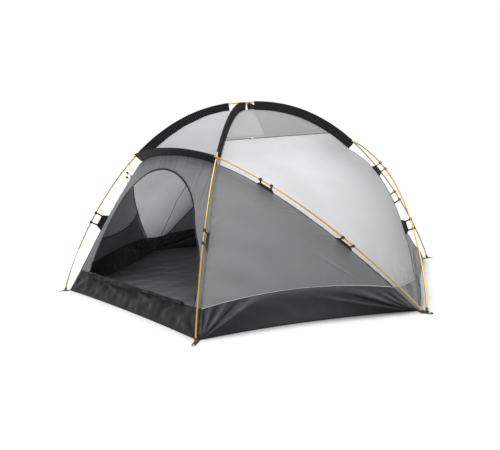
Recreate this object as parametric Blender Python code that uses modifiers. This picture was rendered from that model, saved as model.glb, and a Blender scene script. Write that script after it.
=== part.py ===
"""Free-standing dome tent: four bowed poles over a six-cornered tub floor.

Metres, +Z up. The origin is on the ground under the middle of the floor.
The front door faces -Y and the two side corners lie on the X axis.
"""

import math

import bmesh
import bpy
from mathutils import Matrix, Vector
from mathutils.bvhtree import BVHTree

# Frame of poles
HEIGHT = 1.30  # centre line of the diagonal poles over the middle
FOOT_X = 0.79  # feet of the diagonal poles, across
FOOT_Y = 1.18  # feet of the diagonal poles, front to back
SIDE_X = 1.465  # feet of the two arch poles
SIDE_SPREAD = 0.012  # half the distance between the two feet at a side corner
CROSS_R = 0.835  # reach of the crossings from the middle, along a diagonal
DIAGONAL_POWERS = (2.23, 1.155)  # bend of the diagonal poles
ARCH_POWERS = (2.36, 1.09)  # bend of the arch poles
POLE_D = 0.0095
TIP_D = 0.0055  # turned pin at each pole end
TIP_LENGTH = 0.010
TIP_SHOULDER = 0.0008  # cone between the pin and the full tube
CROSS_GAP = 0.0008  # between two poles where one passes over the other
CROSS_EASE = 0.12  # length over which a pole bends round the other

# Cloth
CLOTH = 0.0015
SEAM_GAP = 0.0007  # between two panels sewn edge to edge
FIT = 0.0003  # between pieces that touch
RIDGE_APEX = 0.058  # seam under the pole, at the apex
RIDGE_CROSS = 0.062  # seam under the pole, at the crossings
RIDGE_LEG = 0.042  # extra drop of the seam half way down a leg
RIDGE_LIMB = 0.010  # extra drop of the seam half way down an arch limb
CORNER_IN = 0.036  # floor corner inside a diagonal foot
SIDE_IN = 0.045  # floor corner inside the arch feet
TUB_MARK = 0.17  # height on the poles level with the corners of the tub's seam
TUB_SIDE_RISE = 0.045  # tub seam higher in the middle of a side
TUB_SILL_DROP = 0.018  # tub seam lower in the middle of a door wall
EDGE_BOW_SIDE = 0.058  # floor edge drawn in along a side
EDGE_BOW_END = 0.020  # floor edge drawn in under a door
WALL_BOW = 0.035  # seam row drawn in along a side
VENT_ROWS = 2  # roof stations below the vent seam
GUSSET_DROP = 0.012  # round tip of the side panel over its corner
GATHER_DEPTH = 0.006  # soft folds in the door walls
GATHERS = 5  # half waves of the folds, side to side

# Stations along the frame
TUB_STEPS = 2
LEG_STEPS = 8
ROOF_STEPS = 8
ACROSS = 8

# Sleeves
SLEEVE_WALL = 0.0012
SLEEVE_FOOT = 0.0026  # thickness of the sewn edge
SLEEVE_LIFT = 0.0022  # sewn edge over the seam
SLEEVE_WAIST = 0.5  # where the sleeve starts to widen round the pole, as a share of its drop
SLEEVE_SWELL = 0.75  # width there, as a share of the tube of the sleeve
BORE_FACETS = 8
SLEEVE_START = 0.035  # from a crossing to the end of a sleeve
POLE_BARE_FRONT_LEFT = 0.130  # bare pole between apex and sleeve
POLE_BARE_BACK_RIGHT = 0.060
POLE_BARE_FRONT_RIGHT = 0.035
POLE_BARE_BACK_LEFT = 0.050

# Clip tabs
LEG_TAB_R = 1.167
LIMB_TAB_X = (0.778, 1.168)
CLIP_SPREAD = 0.077
TAB_BASE = 0.096
TAB_CLOTH = 0.0016
TAB_EAR = 0.0075
TAB_DIP = 0.45  # depth of the hollow between the ears, as a share of the tab
CLIP_LENGTH = 0.009
CLIP_WALL = 0.0030
CLIP_MOUTH = math.radians(80)
CLIP_STEPS = 10

# Corner straps with their pole sockets
STRAP_WIDTH = 0.025
STRAP_THICKNESS = 0.002
STRAP_REACH = 0.046  # tongue outside the pole
EYE_D = 0.014
SOCKET_D = 0.017
SOCKET_HEIGHT = 0.026
GROUND_CUT = 0.3  # side of the cube that trims sockets level with the ground

# Doors
DOOR_PEAK_X = -0.06  # highest point of the door, from the middle of the wall
JAMB_LEFT = 0.120  # wall left beside the door, along the sill
JAMB_RIGHT = 0.067
DOOR_HEAD = 0.0875  # wall left between the door and the seam over it
DOOR_SPRING = 0.0024  # curve of the door starts this far over the ends of the sill
DOOR_POWER_LEFT = 2.0
DOOR_POWER_RIGHT = 1.65
DOOR_STEPS = 22
DOOR_CUT_DROP = 0.1  # foot of the cutter, under the ends of the sill
ZIP_WIDTH = 0.012
TRACK_LIFT = 0.0014  # foot of the zip over the sill
ROLL_D = 0.034  # at its left end, where it is thickest
ROLL_THIN = 0.28  # share of its radius that the roll has lost at its right end
ROLL_PINCH = 0.22  # share of its radius that its gathered fold takes
PINCH_AT = 0.62
PINCH_SPREAD = 0.12
ROLL_COLUMNS = (1, 7)
ROLL_DROP = 0.004  # middle of the rolled door under the top of the sill

# Zip sliders
SLIDER = (0.009, 0.015, 0.0036)  # across, along, thick
SLIDER_LIFT = 0.0004
RUN_SAMPLES = 7  # spots along its run where a slider's height over the wall is measured
BRIDGE = (0.003, 0.009, 0.0045)  # across, along, high, over the slider's face
BRIDGE_WALL = 0.0018
PULL = (0.0070, 0.024, 0.0012)
PULL_BAR = 0.0014  # bar of the pull that runs under the bridge
PULL_AXIS = 0.0013  # middle of the bar over the slider's face
PULL_PLAY = 0.0006  # between the bridge and the arms of the pull
TOGGLE = (0.005, 0.022, 0.003)
SLIDER_RIGHT_Z = (0.200, 0.290)  # run of the slider at the right foot of the door
SLIDER_LEFT_Z = (0.215, 0.300)
VENT_ZIP = 0.008
VENT_SLIDER_Y = 0.28  # from the middle of the vent seam towards the front

# Inner pieces
POCKET_COLUMNS = (1, 5)
POCKET_ROWS = (0, 3)
FLAP_COLUMNS = (5, 7)
FLAP_THICKNESS = 0.007

POLE_R = POLE_D / 2
FOOT_R = math.hypot(FOOT_X, FOOT_Y)
BORE_R = (POLE_R + FIT) / math.cos(math.pi / BORE_FACETS)
UP = Vector((0, 0, 1))


def remove_everything():
    """Start from an empty scene."""
    for item in list(bpy.data.objects):
        bpy.data.objects.remove(item, do_unlink=True)


def collection(name):
    """Make a collection in the scene."""
    made = bpy.data.collections.new(name)
    bpy.context.scene.collection.children.link(made)
    return made


remove_everything()
PARTS = collection("camping_tent")
CUTTERS = collection("cutters")

# Finishes: colour, roughness, metallic
FINISHES = {
    "light_cloth": ((0.72, 0.72, 0.73), 0.55, 0.0),
    "roof_cloth": ((0.52, 0.52, 0.54), 0.55, 0.0),
    "grey_cloth": ((0.21, 0.21, 0.22), 0.6, 0.0),
    "floor_cloth": ((0.035, 0.035, 0.037), 0.45, 0.0),
    "sleeve_cloth": ((0.025, 0.025, 0.027), 0.6, 0.0),
    "mesh_net": ((0.30, 0.30, 0.30), 0.8, 0.0),
    "gold_aluminium": ((0.72, 0.44, 0.12), 0.3, 1.0),
    "black_plastic": ((0.02, 0.02, 0.02), 0.4, 0.0),
    "webbing": ((0.02, 0.02, 0.021), 0.85, 0.0),
    "zip_tape": ((0.015, 0.015, 0.016), 0.7, 0.0),
    "white_plastic": ((0.8, 0.8, 0.8), 0.4, 0.0),
}


def finish(item, kind):
    """Give an object its own material of one of the finishes."""
    colour, roughness, metallic = FINISHES[kind]
    material = bpy.data.materials.new(f"{item.name}_{kind}")
    material.use_nodes = True
    shader = material.node_tree.nodes["Principled BSDF"]
    shader.inputs["Base Color"].default_value = (*colour, 1)
    shader.inputs["Roughness"].default_value = roughness
    shader.inputs["Metallic"].default_value = metallic
    item.data.materials.clear()
    item.data.materials.append(material)


def add_object(name, data, kind):
    """Put a mesh or curve in the scene as a sub-part."""
    item = bpy.data.objects.new(name, data)
    PARTS.objects.link(item)
    finish(item, kind)
    return item


def mesh_from(bm, name):
    """Close a bmesh into mesh data."""
    mesh = bpy.data.meshes.new(name)
    bm.to_mesh(mesh)
    bm.free()
    return mesh


def add_cutter(name, bm):
    """Put a cutter in the scene."""
    item = bpy.data.objects.new(name, mesh_from(bm, name))
    item.hide_render = True
    item.display_type = "WIRE"
    CUTTERS.objects.link(item)
    return item


def add_boolean(item, operation, cutter):
    """Cut, join or keep the shared part with another object."""
    modifier = item.modifiers.new(operation.lower(), "BOOLEAN")
    modifier.operation = operation
    modifier.object = cutter
    modifier.solver = "EXACT"


def apply_modifiers(item):
    """Turn an object with modifiers into a plain mesh object."""
    shape = item.evaluated_get(bpy.context.evaluated_depsgraph_get())
    mesh = bpy.data.meshes.new_from_object(shape)
    item.modifiers.clear()
    item.data = mesh


# Curves of the frame


def bow(share, powers):
    """Height of a bowed pole, from 0 to 1, at a share of its half span."""
    return max(0.0, 1 - abs(share) ** powers[0]) ** (1 / powers[1])


def diagonal(r):
    """Point of a diagonal pole over the +X -Y leg, at a reach from the middle."""
    height = HEIGHT * bow(r / FOOT_R, DIAGONAL_POWERS)
    return Vector((FOOT_X * r / FOOT_R, -FOOT_Y * r / FOOT_R, height))


CROSS = diagonal(CROSS_R)
ARCH_LEAN = math.atan2(CROSS.z, -CROSS.y - SIDE_SPREAD)
ARCH_RISE = math.hypot(CROSS.z, -CROSS.y - SIDE_SPREAD) / bow(CROSS.x / SIDE_X, ARCH_POWERS)
ARCH_NORMAL = Vector((0, math.sin(ARCH_LEAN), math.cos(ARCH_LEAN)))
DIAGONAL_NORMAL = Vector((FOOT_Y, FOOT_X, 0)) / FOOT_R


def arch(x):
    """Point of the front arch pole at a reach to the right."""
    rise = ARCH_RISE * bow(x / SIDE_X, ARCH_POWERS)
    return Vector((x, -SIDE_SPREAD - rise * math.cos(ARCH_LEAN), rise * math.sin(ARCH_LEAN)))


def inward(curve, s, normal):
    """Direction from a pole to the inside of the tent, in the pole's own plane."""
    step = 0.0005
    along = curve(s - 2 * step) - curve(s - step)
    side = normal.cross(along).normalized()
    middle = Vector((0, 0, HEIGHT / 4))
    return side if side.dot(middle - curve(s)) > 0 else -side


def spaced(curve, start, end, steps):
    """Parameters that cut a curve between start and end into equal lengths."""
    fine = 400
    values = [start + (end - start) * i / fine for i in range(fine + 1)]
    points = [curve(v) for v in values]
    lengths = [0.0]
    for a, b in zip(points, points[1:]):
        lengths.append(lengths[-1] + (b - a).length)
    found = []
    k = 0
    for i in range(steps + 1):
        goal = lengths[-1] * i / steps
        while k < fine - 1 and lengths[k + 1] < goal:
            k += 1
        part = (goal - lengths[k]) / (lengths[k + 1] - lengths[k])
        found.append(values[k] + (values[k + 1] - values[k]) * min(1.0, part))
    return found


def at_height(curve, low, high, z):
    """Parameter between low and high where a curve that falls outwards has a height."""
    for _ in range(60):
        middle = (low + high) / 2
        if curve(middle).z > z:
            low = middle
        else:
            high = middle
    return low


LEG_MARK = at_height(diagonal, CROSS_R, FOOT_R, TUB_MARK)
LIMB_MARK = at_height(arch, CROSS.x, SIDE_X, TUB_MARK)
LEG_S = spaced(diagonal, FOOT_R, LEG_MARK, TUB_STEPS)[:-1] + spaced(diagonal, LEG_MARK, CROSS_R, LEG_STEPS)
LIMB_S = spaced(arch, SIDE_X, LIMB_MARK, TUB_STEPS)[:-1] + spaced(arch, LIMB_MARK, CROSS.x, LEG_STEPS)
ROOF_S = spaced(diagonal, CROSS_R, 0.0, ROOF_STEPS)
TOP_S = spaced(arch, -CROSS.x, CROSS.x, ACROSS)


def eased(share, start, end, extra):
    """Drop of a seam under its pole along a run, with an extra in its middle."""
    return start + (end - start) * share + 4 * extra * share * (1 - share)


def seam_line(curve, values, normal, start, end, extra):
    """Seam under a stretch of pole."""
    last = len(values) - 1
    return [
        curve(v) + inward(curve, v, normal) * eased(i / last, start, end, extra)
        for i, v in enumerate(values)
    ]


def pinned(points, start, end):
    """Slide a line of points so that its ends land on start and end."""
    last = len(points) - 1
    first_move = start - points[0]
    last_move = end - points[-1]
    moved = []
    for i, point in enumerate(points):
        share = i / last
        moved.append(point + first_move * (1 - share) ** 3 + last_move * share**3)
    return moved


def mirrored(points, sx, sy):
    """Points of the +X -Y quarter carried to another quarter."""
    return [Vector((p.x * sx, -p.y * sy, p.z)) for p in points]


def turned(point):
    """A point turned half round the middle of the tent."""
    return Vector((-point.x, -point.y, point.z))


# Net of seams in the +X -Y quarter
APEX = Vector((0, 0, HEIGHT - RIDGE_APEX))
KNOT = (
    CROSS
    + (inward(diagonal, CROSS_R, DIAGONAL_NORMAL) + inward(arch, CROSS.x, ARCH_NORMAL)) / 2 * RIDGE_CROSS
)
CORNER_R = FOOT_R - CORNER_IN
CORNER = Vector((FOOT_X * CORNER_R / FOOT_R, -FOOT_Y * CORNER_R / FOOT_R, CLOTH))
SIDE = Vector((SIDE_X - SIDE_IN, 0, CLOTH))
LEG_SEAM = pinned(
    seam_line(diagonal, LEG_S, DIAGONAL_NORMAL, CORNER_IN, RIDGE_CROSS, RIDGE_LEG), CORNER, KNOT
)
LIMB_SEAM = pinned(seam_line(arch, LIMB_S, ARCH_NORMAL, SIDE_IN, RIDGE_CROSS, RIDGE_LIMB), SIDE, KNOT)
ROOF_SEAM = pinned(
    seam_line(diagonal, ROOF_S, DIAGONAL_NORMAL, RIDGE_CROSS, RIDGE_APEX, 0.0), KNOT, APEX
)
TOP_SEAM = pinned(
    seam_line(arch, TOP_S, ARCH_NORMAL, RIDGE_CROSS, RIDGE_CROSS, -(RIDGE_CROSS - RIDGE_APEX)),
    Vector((-KNOT.x, KNOT.y, KNOT.z)),
    KNOT,
)


def bowed_line(start, end, steps, bow_in, rise):
    """Line between two points, drawn in towards the middle and lifted at its centre."""
    along = end - start
    side = Vector((-along.y, along.x, 0)).normalized()
    if side.dot(-start - along / 2) < 0:
        side = -side
    line = []
    for i in range(steps + 1):
        share = i / steps
        arc = 4 * share * (1 - share)
        line.append(start + along * share + side * bow_in * arc + UP * rise * arc)
    return line


def coons(bottom, top, left, right):
    """Rows of a soft surface spanned between four edges, from the bottom up."""
    columns = len(bottom) - 1
    last = len(left) - 1
    rows = []
    for j in range(last + 1):
        v = j / last
        row = []
        for i in range(columns + 1):
            u = i / columns
            low = bottom[0] * (1 - u) + bottom[-1] * u
            high = top[0] * (1 - u) + top[-1] * u
            corners = low * (1 - v) + high * v
            edges = bottom[i] * (1 - v) + top[i] * v + left[j] * (1 - u) + right[j] * u
            row.append(edges - corners)
        rows.append(row)
    return rows


SIDE_SILL = bowed_line(LEG_SEAM[TUB_STEPS], LIMB_SEAM[TUB_STEPS], ACROSS, WALL_BOW, TUB_SIDE_RISE)
SIDE_EDGE = bowed_line(CORNER, SIDE, ACROSS, EDGE_BOW_SIDE, 0.0)
LEFT_LEG_SEAM = mirrored(LEG_SEAM, -1, -1)
END_SILL = bowed_line(LEFT_LEG_SEAM[TUB_STEPS], LEG_SEAM[TUB_STEPS], ACROSS, EDGE_BOW_END, -TUB_SILL_DROP)
END_EDGE = bowed_line(LEFT_LEG_SEAM[0], CORNER, ACROSS, EDGE_BOW_END, 0.0)
BACK_LIMB = mirrored(LIMB_SEAM, 1, 1)
BACK_ROOF = mirrored(ROOF_SEAM, 1, 1)
GUSSET_TOP = bowed_line(LIMB_SEAM[TUB_STEPS], BACK_LIMB[TUB_STEPS], ACROSS, 0.0, -GUSSET_DROP)
VENT_SILL = bowed_line(ROOF_SEAM[VENT_ROWS], BACK_ROOF[VENT_ROWS], ACROSS, 0.0, 0.0)


def end_wall_rows():
    """Front door wall, with the soft folds that run up from its door."""
    rows = coons(END_SILL, TOP_SEAM, LEFT_LEG_SEAM[TUB_STEPS:], LEG_SEAM[TUB_STEPS:])
    last = len(rows) - 1
    for j, row in enumerate(rows):
        for i, point in enumerate(row):
            share = (i / ACROSS) * (1 - i / ACROSS) * 4
            fold = math.sin(i / ACROSS * math.pi * GATHERS) * share * (j / last) ** 2 * (1 - j / last) * 4
            point.y += GATHER_DEPTH * fold
    return rows


def side_panel_rows():
    """Pale side panel from the tub's corner up to the vent, seam to seam."""
    front = LIMB_SEAM[TUB_STEPS:] + ROOF_SEAM[1 : VENT_ROWS + 1]
    back = BACK_LIMB[TUB_STEPS:] + BACK_ROOF[1 : VENT_ROWS + 1]
    return coons(GUSSET_TOP, VENT_SILL, front, back)


END_WALL = end_wall_rows()
DOOR_LEFT = END_SILL[-1].x - JAMB_LEFT + DOOR_PEAK_X  # half widths on each side of the peak
DOOR_RIGHT = END_SILL[-1].x - JAMB_RIGHT - DOOR_PEAK_X
DOOR_TOP = TOP_SEAM[ACROSS // 2].z - DOOR_HEAD
DOOR_BASE = END_SILL[-1].z + DOOR_SPRING
ROOF = coons(TOP_SEAM, [APEX] * (ACROSS + 1), mirrored(ROOF_SEAM, -1, -1), ROOF_SEAM)
LOWER = coons(SIDE_SILL, [KNOT] * (ACROSS + 1), LEG_SEAM[TUB_STEPS:], LIMB_SEAM[TUB_STEPS:])
VENT = coons(VENT_SILL, [APEX] * (ACROSS + 1), ROOF_SEAM[VENT_ROWS:], BACK_ROOF[VENT_ROWS:])
SIDE_PANEL = side_panel_rows()
ZIP_ROW = [
    a + (b - a).normalized() * VENT_ZIP for a, b in zip(SIDE_PANEL[-1], SIDE_PANEL[-2])
]
VENT_STRIP = [ZIP_ROW, SIDE_PANEL[-1]]
SIDE_PANEL = SIDE_PANEL[:-1] + [ZIP_ROW]


# Cloth shells


def grid_faces(bm, rows):
    """Add a grid of points as faces."""
    verts = [[bm.verts.new(p) for p in row] for row in rows]
    for low, high in zip(verts, verts[1:]):
        for i in range(len(low) - 1):
            bm.faces.new((low[i], low[i + 1], high[i + 1], high[i]))


def clean_grid(bm):
    """Weld shared points, drop faces without area and point all faces outwards."""
    bmesh.ops.remove_doubles(bm, verts=bm.verts, dist=0.00001)
    flat = [f for f in bm.faces if f.calc_area() < 1e-9]
    bmesh.ops.delete(bm, geom=flat, context="FACES_ONLY")
    bmesh.ops.recalc_face_normals(bm, faces=bm.faces)
    middle = Vector((0, 0, HEIGHT / 4))
    facing = sum(f.normal.dot(f.calc_center_median() - middle) * f.calc_area() for f in bm.faces)
    if facing < 0:
        bmesh.ops.reverse_faces(bm, faces=bm.faces)


def draw_in(bm, distance):
    """Move the free edges of an open surface inwards by a distance, corners mitred."""
    moves = {}
    for edge in bm.edges:
        if not edge.is_boundary:
            continue
        face = edge.link_faces[0]
        a, b = edge.verts
        side = face.normal.cross(b.co - a.co).normalized()
        if side.dot(face.calc_center_median() - a.co) < 0:
            side = -side
        for vert in (a, b):
            moves.setdefault(vert, []).append(side)
    for vert, sides in moves.items():
        if len(sides) == 2:
            share = max(0.25, 1 + sides[0].dot(sides[1]))
            vert.co += (sides[0] + sides[1]) / share * distance


def cloth_surface(rows, name, inset=SEAM_GAP / 2):
    """Open cloth surface from a grid, its edges drawn in."""
    bm = bmesh.new()
    grid_faces(bm, rows)
    clean_grid(bm)
    draw_in(bm, inset)
    return mesh_from(bm, name)


def thicken(item, thickness):
    """Give an open surface its thickness, outwards."""
    modifier = item.modifiers.new("thickness", "SOLIDIFY")
    modifier.thickness = thickness
    modifier.offset = 1.0
    modifier.use_even_offset = True
    modifier.use_quality_normals = True


def add_cloth(name, rows, kind):
    """Cloth panel of one grid."""
    item = add_object(name, cloth_surface(rows, name), kind)
    thicken(item, CLOTH)
    return item


def moved_rows(rows, change):
    """Grid with each point passed through a function."""
    return [[change(p) for p in row] for row in rows]


def to_quarter(sx, sy):
    """Function that carries a point of the +X -Y quarter to another quarter."""
    return lambda p: Vector((p.x * sx, -p.y * sy, p.z))


def make_roof_and_sides():
    """Roof, lower and side panels, vents and the zips under the vents."""
    for name, sy in (("front", -1), ("back", 1)):
        add_cloth(f"{name}_roof_panel", moved_rows(ROOF, to_quarter(1, sy)), "roof_cloth")
    for name, sx in (("right", 1), ("left", -1)):
        change = to_quarter(sx, -1)
        add_cloth(f"{name}_side_panel", moved_rows(SIDE_PANEL, change), "light_cloth")
        add_cloth(f"{name}_mesh_vent", moved_rows(VENT, change), "mesh_net")
        add_cloth(f"{name}_vent_zip", moved_rows(VENT_STRIP, change), "zip_tape")
        for end, sy in (("front", -1), ("back", 1)):
            add_cloth(f"{end}_{name}_lower_panel", moved_rows(LOWER, to_quarter(sx, sy)), "grey_cloth")


def make_tub():
    """Waterproof tub floor with its turned-up walls, one welded skin."""
    bm = bmesh.new()
    side_wall = coons(SIDE_EDGE, SIDE_SILL, LEG_SEAM[: TUB_STEPS + 1], LIMB_SEAM[: TUB_STEPS + 1])
    end_wall = coons(END_EDGE, END_SILL, LEFT_LEG_SEAM[: TUB_STEPS + 1], LEG_SEAM[: TUB_STEPS + 1])
    gusset = coons(
        [SIDE] * (ACROSS + 1), GUSSET_TOP, LIMB_SEAM[: TUB_STEPS + 1], BACK_LIMB[: TUB_STEPS + 1]
    )
    for sx in (1, -1):
        grid_faces(bm, moved_rows(gusset, to_quarter(sx, -1)))
        for sy in (1, -1):
            grid_faces(bm, moved_rows(side_wall, to_quarter(sx, sy)))
    for sy in (1, -1):
        grid_faces(bm, moved_rows(end_wall, to_quarter(1, sy)))
    bmesh.ops.remove_doubles(bm, verts=bm.verts, dist=0.00001)
    rim = [e for e in bm.edges if e.is_boundary and all(v.co.z < CLOTH * 1.5 for v in e.verts)]
    bmesh.ops.edgeloop_fill(bm, edges=rim)
    clean_grid(bm)
    draw_in(bm, SEAM_GAP / 2)
    item = add_object("tub_floor", mesh_from(bm, "tub_floor"), "floor_cloth")
    thicken(item, CLOTH)
    apply_modifiers(item)
    for vert in item.data.vertices:
        if vert.co.z < CLOTH / 2:
            vert.co.z = 0.0
    item.data.update()


# Doors


def door_outline(inset):
    """Points of the door's outline, drawn in, from the right foot round to the left foot."""
    points = []
    for i in range(DOOR_STEPS + 1):
        angle = math.pi * i / DOOR_STEPS
        right = math.cos(angle) > 0
        half = (DOOR_RIGHT if right else DOOR_LEFT) - inset
        power = 2 / (DOOR_POWER_RIGHT if right else DOOR_POWER_LEFT)
        x = DOOR_PEAK_X + math.copysign(half * abs(math.cos(angle)) ** power, math.cos(angle))
        z = DOOR_BASE + (DOOR_TOP - DOOR_BASE - inset) * math.sin(angle) ** power
        points.append((x, z))
    low = END_SILL[-1].z - DOOR_CUT_DROP
    return [(points[0][0], low)] + points + [(points[-1][0], low)]


def door_prism(name, inset):
    """Cutter in the shape of the door, through the front wall."""
    bm = bmesh.new()
    near = -2 * FOOT_Y
    far = -FOOT_Y / 4
    face = bm.faces.new([bm.verts.new((x, near, z)) for x, z in door_outline(inset)])
    pushed = bmesh.ops.extrude_face_region(bm, geom=[face])
    moved = [v for v in pushed["geom"] if isinstance(v, bmesh.types.BMVert)]
    bmesh.ops.translate(bm, vec=(0, far - near, 0), verts=moved)
    bmesh.ops.recalc_face_normals(bm, faces=bm.faces)
    return add_cutter(name, bm)


def sill_height(x):
    """Height of the front sill under a spot of the door wall."""
    for a, b in zip(END_SILL, END_SILL[1:]):
        if a.x <= x <= b.x:
            return a.z + (b.z - a.z) * (x - a.x) / (b.x - a.x)
    return END_SILL[0].z


def track_edge(tree, inset):
    """Edge of the zip on both faces of the front wall, from the right foot round to the left foot."""
    edge = []
    for x, z in door_outline(inset):
        spot = Vector((x, -2 * FOOT_Y, max(z, sill_height(x) + TRACK_LIFT)))
        hit, normal, _, _ = tree.ray_cast(spot, Vector((0, 1, 0)))
        edge.append((hit, hit - Vector((0, CLOTH / abs(normal.y), 0))))
    return edge


def add_zip_tracks():
    """Zip round each door, a loft between its outer and inner edge."""
    tree = wall_tree()
    bm = bmesh.new()
    sections = []
    for (a, b), (c, d) in zip(track_edge(tree, FIT), track_edge(tree, ZIP_WIDTH)):
        sections.append([bm.verts.new(p) for p in (a, b, d, c)])
    for here, there in zip(sections, sections[1:]):
        for i in range(4):
            k = (i + 1) % 4
            bm.faces.new((here[i], here[k], there[k], there[i]))
    for section in (sections[0], sections[-1]):
        bm.faces.new(section)
    bmesh.ops.recalc_face_normals(bm, faces=bm.faces)
    item = add_object("front_zip_track", mesh_from(bm, "front_zip_track"), "zip_tape")
    add_turned_copy(item, "back_zip_track", "zip_tape")


def add_turned_copy(item, name, kind):
    """Copy of a plain object, turned half round the middle of the tent."""
    mesh = item.data.copy()
    mesh.transform(Matrix.Rotation(math.pi, 4, "Z"))
    return add_object(name, mesh, kind)


def make_door_walls():
    """Door walls with their openings and zips; the back one holds its closed door."""
    wall = add_cloth("front_wall", END_WALL, "grey_cloth")
    add_boolean(wall, "DIFFERENCE", door_prism("door_opening", 0.0))
    apply_modifiers(wall)
    add_turned_copy(wall, "back_wall", "grey_cloth")
    add_zip_tracks()
    door = add_cloth("back_door", END_WALL, "grey_cloth")
    add_boolean(door, "INTERSECT", door_prism("door_outer", ZIP_WIDTH + FIT))
    apply_modifiers(door)
    door.data.transform(Matrix.Rotation(math.pi, 4, "Z"))
    set_origin(door, turned(fold_point()))


def fold_point():
    """Middle of the front door's fold line, level with the ends of the sill."""
    return Vector((0, END_SILL[0].y, END_SILL[0].z))


def set_origin(item, point):
    """Put an object's origin at a point and leave its shape where it is."""
    item.data.transform(Matrix.Translation(-point))
    item.location = point


def wall_tree():
    """Search tree of the front wall's surface."""
    bm = bmesh.new()
    grid_faces(bm, END_WALL)
    clean_grid(bm)
    tree = BVHTree.FromBMesh(bm)
    bm.free()
    return tree


def roll_radius(share):
    """Radius of the rolled door at a share of its length from the left."""
    pinch = math.exp(-(((share - PINCH_AT) / PINCH_SPREAD) ** 2))
    return ROLL_D / 2 * (1 - ROLL_THIN * share - ROLL_PINCH * pinch)


def make_rolled_door():
    """Front door let down and rolled along the outside of the sill, with one gathered fold."""
    curve = bpy.data.curves.new("front_door", "CURVE")
    curve.dimensions = "3D"
    curve.bevel_depth = 1.0
    curve.bevel_resolution = 2
    curve.use_fill_caps = True
    spline = curve.splines.new("POLY")
    first, last = ROLL_COLUMNS
    spline.points.add(last - first)
    for k, i in enumerate(range(first, last + 1)):
        down = (END_EDGE[i] - END_SILL[i]).normalized()
        across = (END_SILL[i + 1] - END_SILL[i - 1]).normalized()
        out = across.cross(down)
        if out.y > 0:
            out = -out
        radius = roll_radius(k / (last - first))
        point = END_SILL[i] + out * (radius + CLOTH + 2 * FIT) + down * ROLL_DROP
        spline.points[k].co = (*point, 1)
        spline.points[k].radius = radius
    item = add_object("front_door", curve, "floor_cloth")
    bpy.context.view_layer.update()
    mesh = bpy.data.meshes.new_from_object(item.evaluated_get(bpy.context.evaluated_depsgraph_get()))
    bpy.data.objects.remove(item)
    bm = bmesh.new()
    bm.from_mesh(mesh)
    bmesh.ops.remove_doubles(bm, verts=bm.verts, dist=0.00001)
    bmesh.ops.recalc_face_normals(bm, faces=bm.faces)
    item = add_object("front_door", mesh_from(bm, "front_door"), "floor_cloth")
    item.data.shade_smooth()
    set_origin(item, fold_point())


# Poles


def bump(distance):
    """Ease of a pole round another, 1 at the crossing."""
    return math.exp(-((distance / CROSS_EASE) ** 2))


def cross_lift():
    """Direction in which the arch pole passes over the +X -Y diagonal."""
    step = 0.001
    along_diagonal = diagonal(CROSS_R + step) - diagonal(CROSS_R - step)
    along_arch = arch(CROSS.x + step) - arch(CROSS.x - step)
    lift = along_diagonal.cross(along_arch).normalized()
    return lift if lift.z > 0 else -lift


LIFT = cross_lift()


def diagonal_pole_point(r, under):
    """Centre of a diagonal pole; the one that passes under dips at the apex."""
    dip = (POLE_D + CROSS_GAP) * bump(r) if under else 0.0
    return diagonal(r) - UP * dip


def arch_pole_point(x):
    """Centre of the front arch pole, eased out over both diagonals."""
    side = math.copysign(1.0, x)
    lift = Vector((LIFT.x * side, LIFT.y, LIFT.z))
    return arch(x) + lift * (POLE_D + CROSS_GAP) * bump(abs(x) - CROSS.x)


def leg_points(sx, sy, under):
    """Centre of a diagonal pole from a foot to the apex."""
    values = LEG_S + ROOF_S[1:]
    return mirrored([diagonal_pole_point(r, under) for r in values], sx, sy)


def arch_points(sy):
    """Centre of an arch pole from the left foot to the right foot."""
    left = [-x for x in LIMB_S]
    values = left + TOP_S[1:-1] + LIMB_S[::-1]
    return mirrored([arch_pole_point(x) for x in values], 1, sy)


def socket_floor(foot, along):
    """Middle of the bottom of the socket that a pole stands in."""
    return foot + along * (STRAP_THICKNESS + BORE_R * math.hypot(along.x, along.y)) / along.z


def with_tips(points):
    """Centre line and radii of a pole with a turned pin at both ends."""
    line = []
    for foot, following in ((points[0], points[1]), (points[-1], points[-2])):
        along = (following - foot).normalized()
        start = socket_floor(foot, along) + along * FIT
        line.append((start, start + along * TIP_LENGTH, start + along * (TIP_LENGTH + TIP_SHOULDER)))
    pin = TIP_D / POLE_D
    whole = list(line[0]) + points[1:-1] + list(line[1])[::-1]
    radii = [pin, pin, 1.0] + [1.0] * (len(points) - 2) + [1.0, pin, pin]
    return whole, radii


def add_pole(name, points):
    """Aluminium pole along a line of points."""
    whole, radii = with_tips(points)
    curve = bpy.data.curves.new(name, "CURVE")
    curve.dimensions = "3D"
    curve.bevel_depth = POLE_R
    curve.bevel_resolution = 2
    curve.use_fill_caps = True
    spline = curve.splines.new("POLY")
    spline.points.add(len(whole) - 1)
    for spot, point, radius in zip(spline.points, whole, radii):
        spot.co = (*point, 1)
        spot.radius = radius
    add_object(name, curve, "gold_aluminium")


def make_poles():
    """Two diagonal poles and two arch poles."""
    over = leg_points(-1, -1, False) + leg_points(1, 1, False)[-2::-1]
    under = leg_points(1, -1, True) + leg_points(-1, 1, True)[-2::-1]
    add_pole("upper_diagonal_pole", over)
    add_pole("lower_diagonal_pole", under)
    add_pole("front_arch_pole", arch_points(-1))
    add_pole("back_arch_pole", arch_points(1))


# Sleeves


def on_line(points, s):
    """Point at a station number, which may lie between two stations."""
    i = min(int(s), len(points) - 2)
    return points[i].lerp(points[i + 1], s - i)


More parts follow.
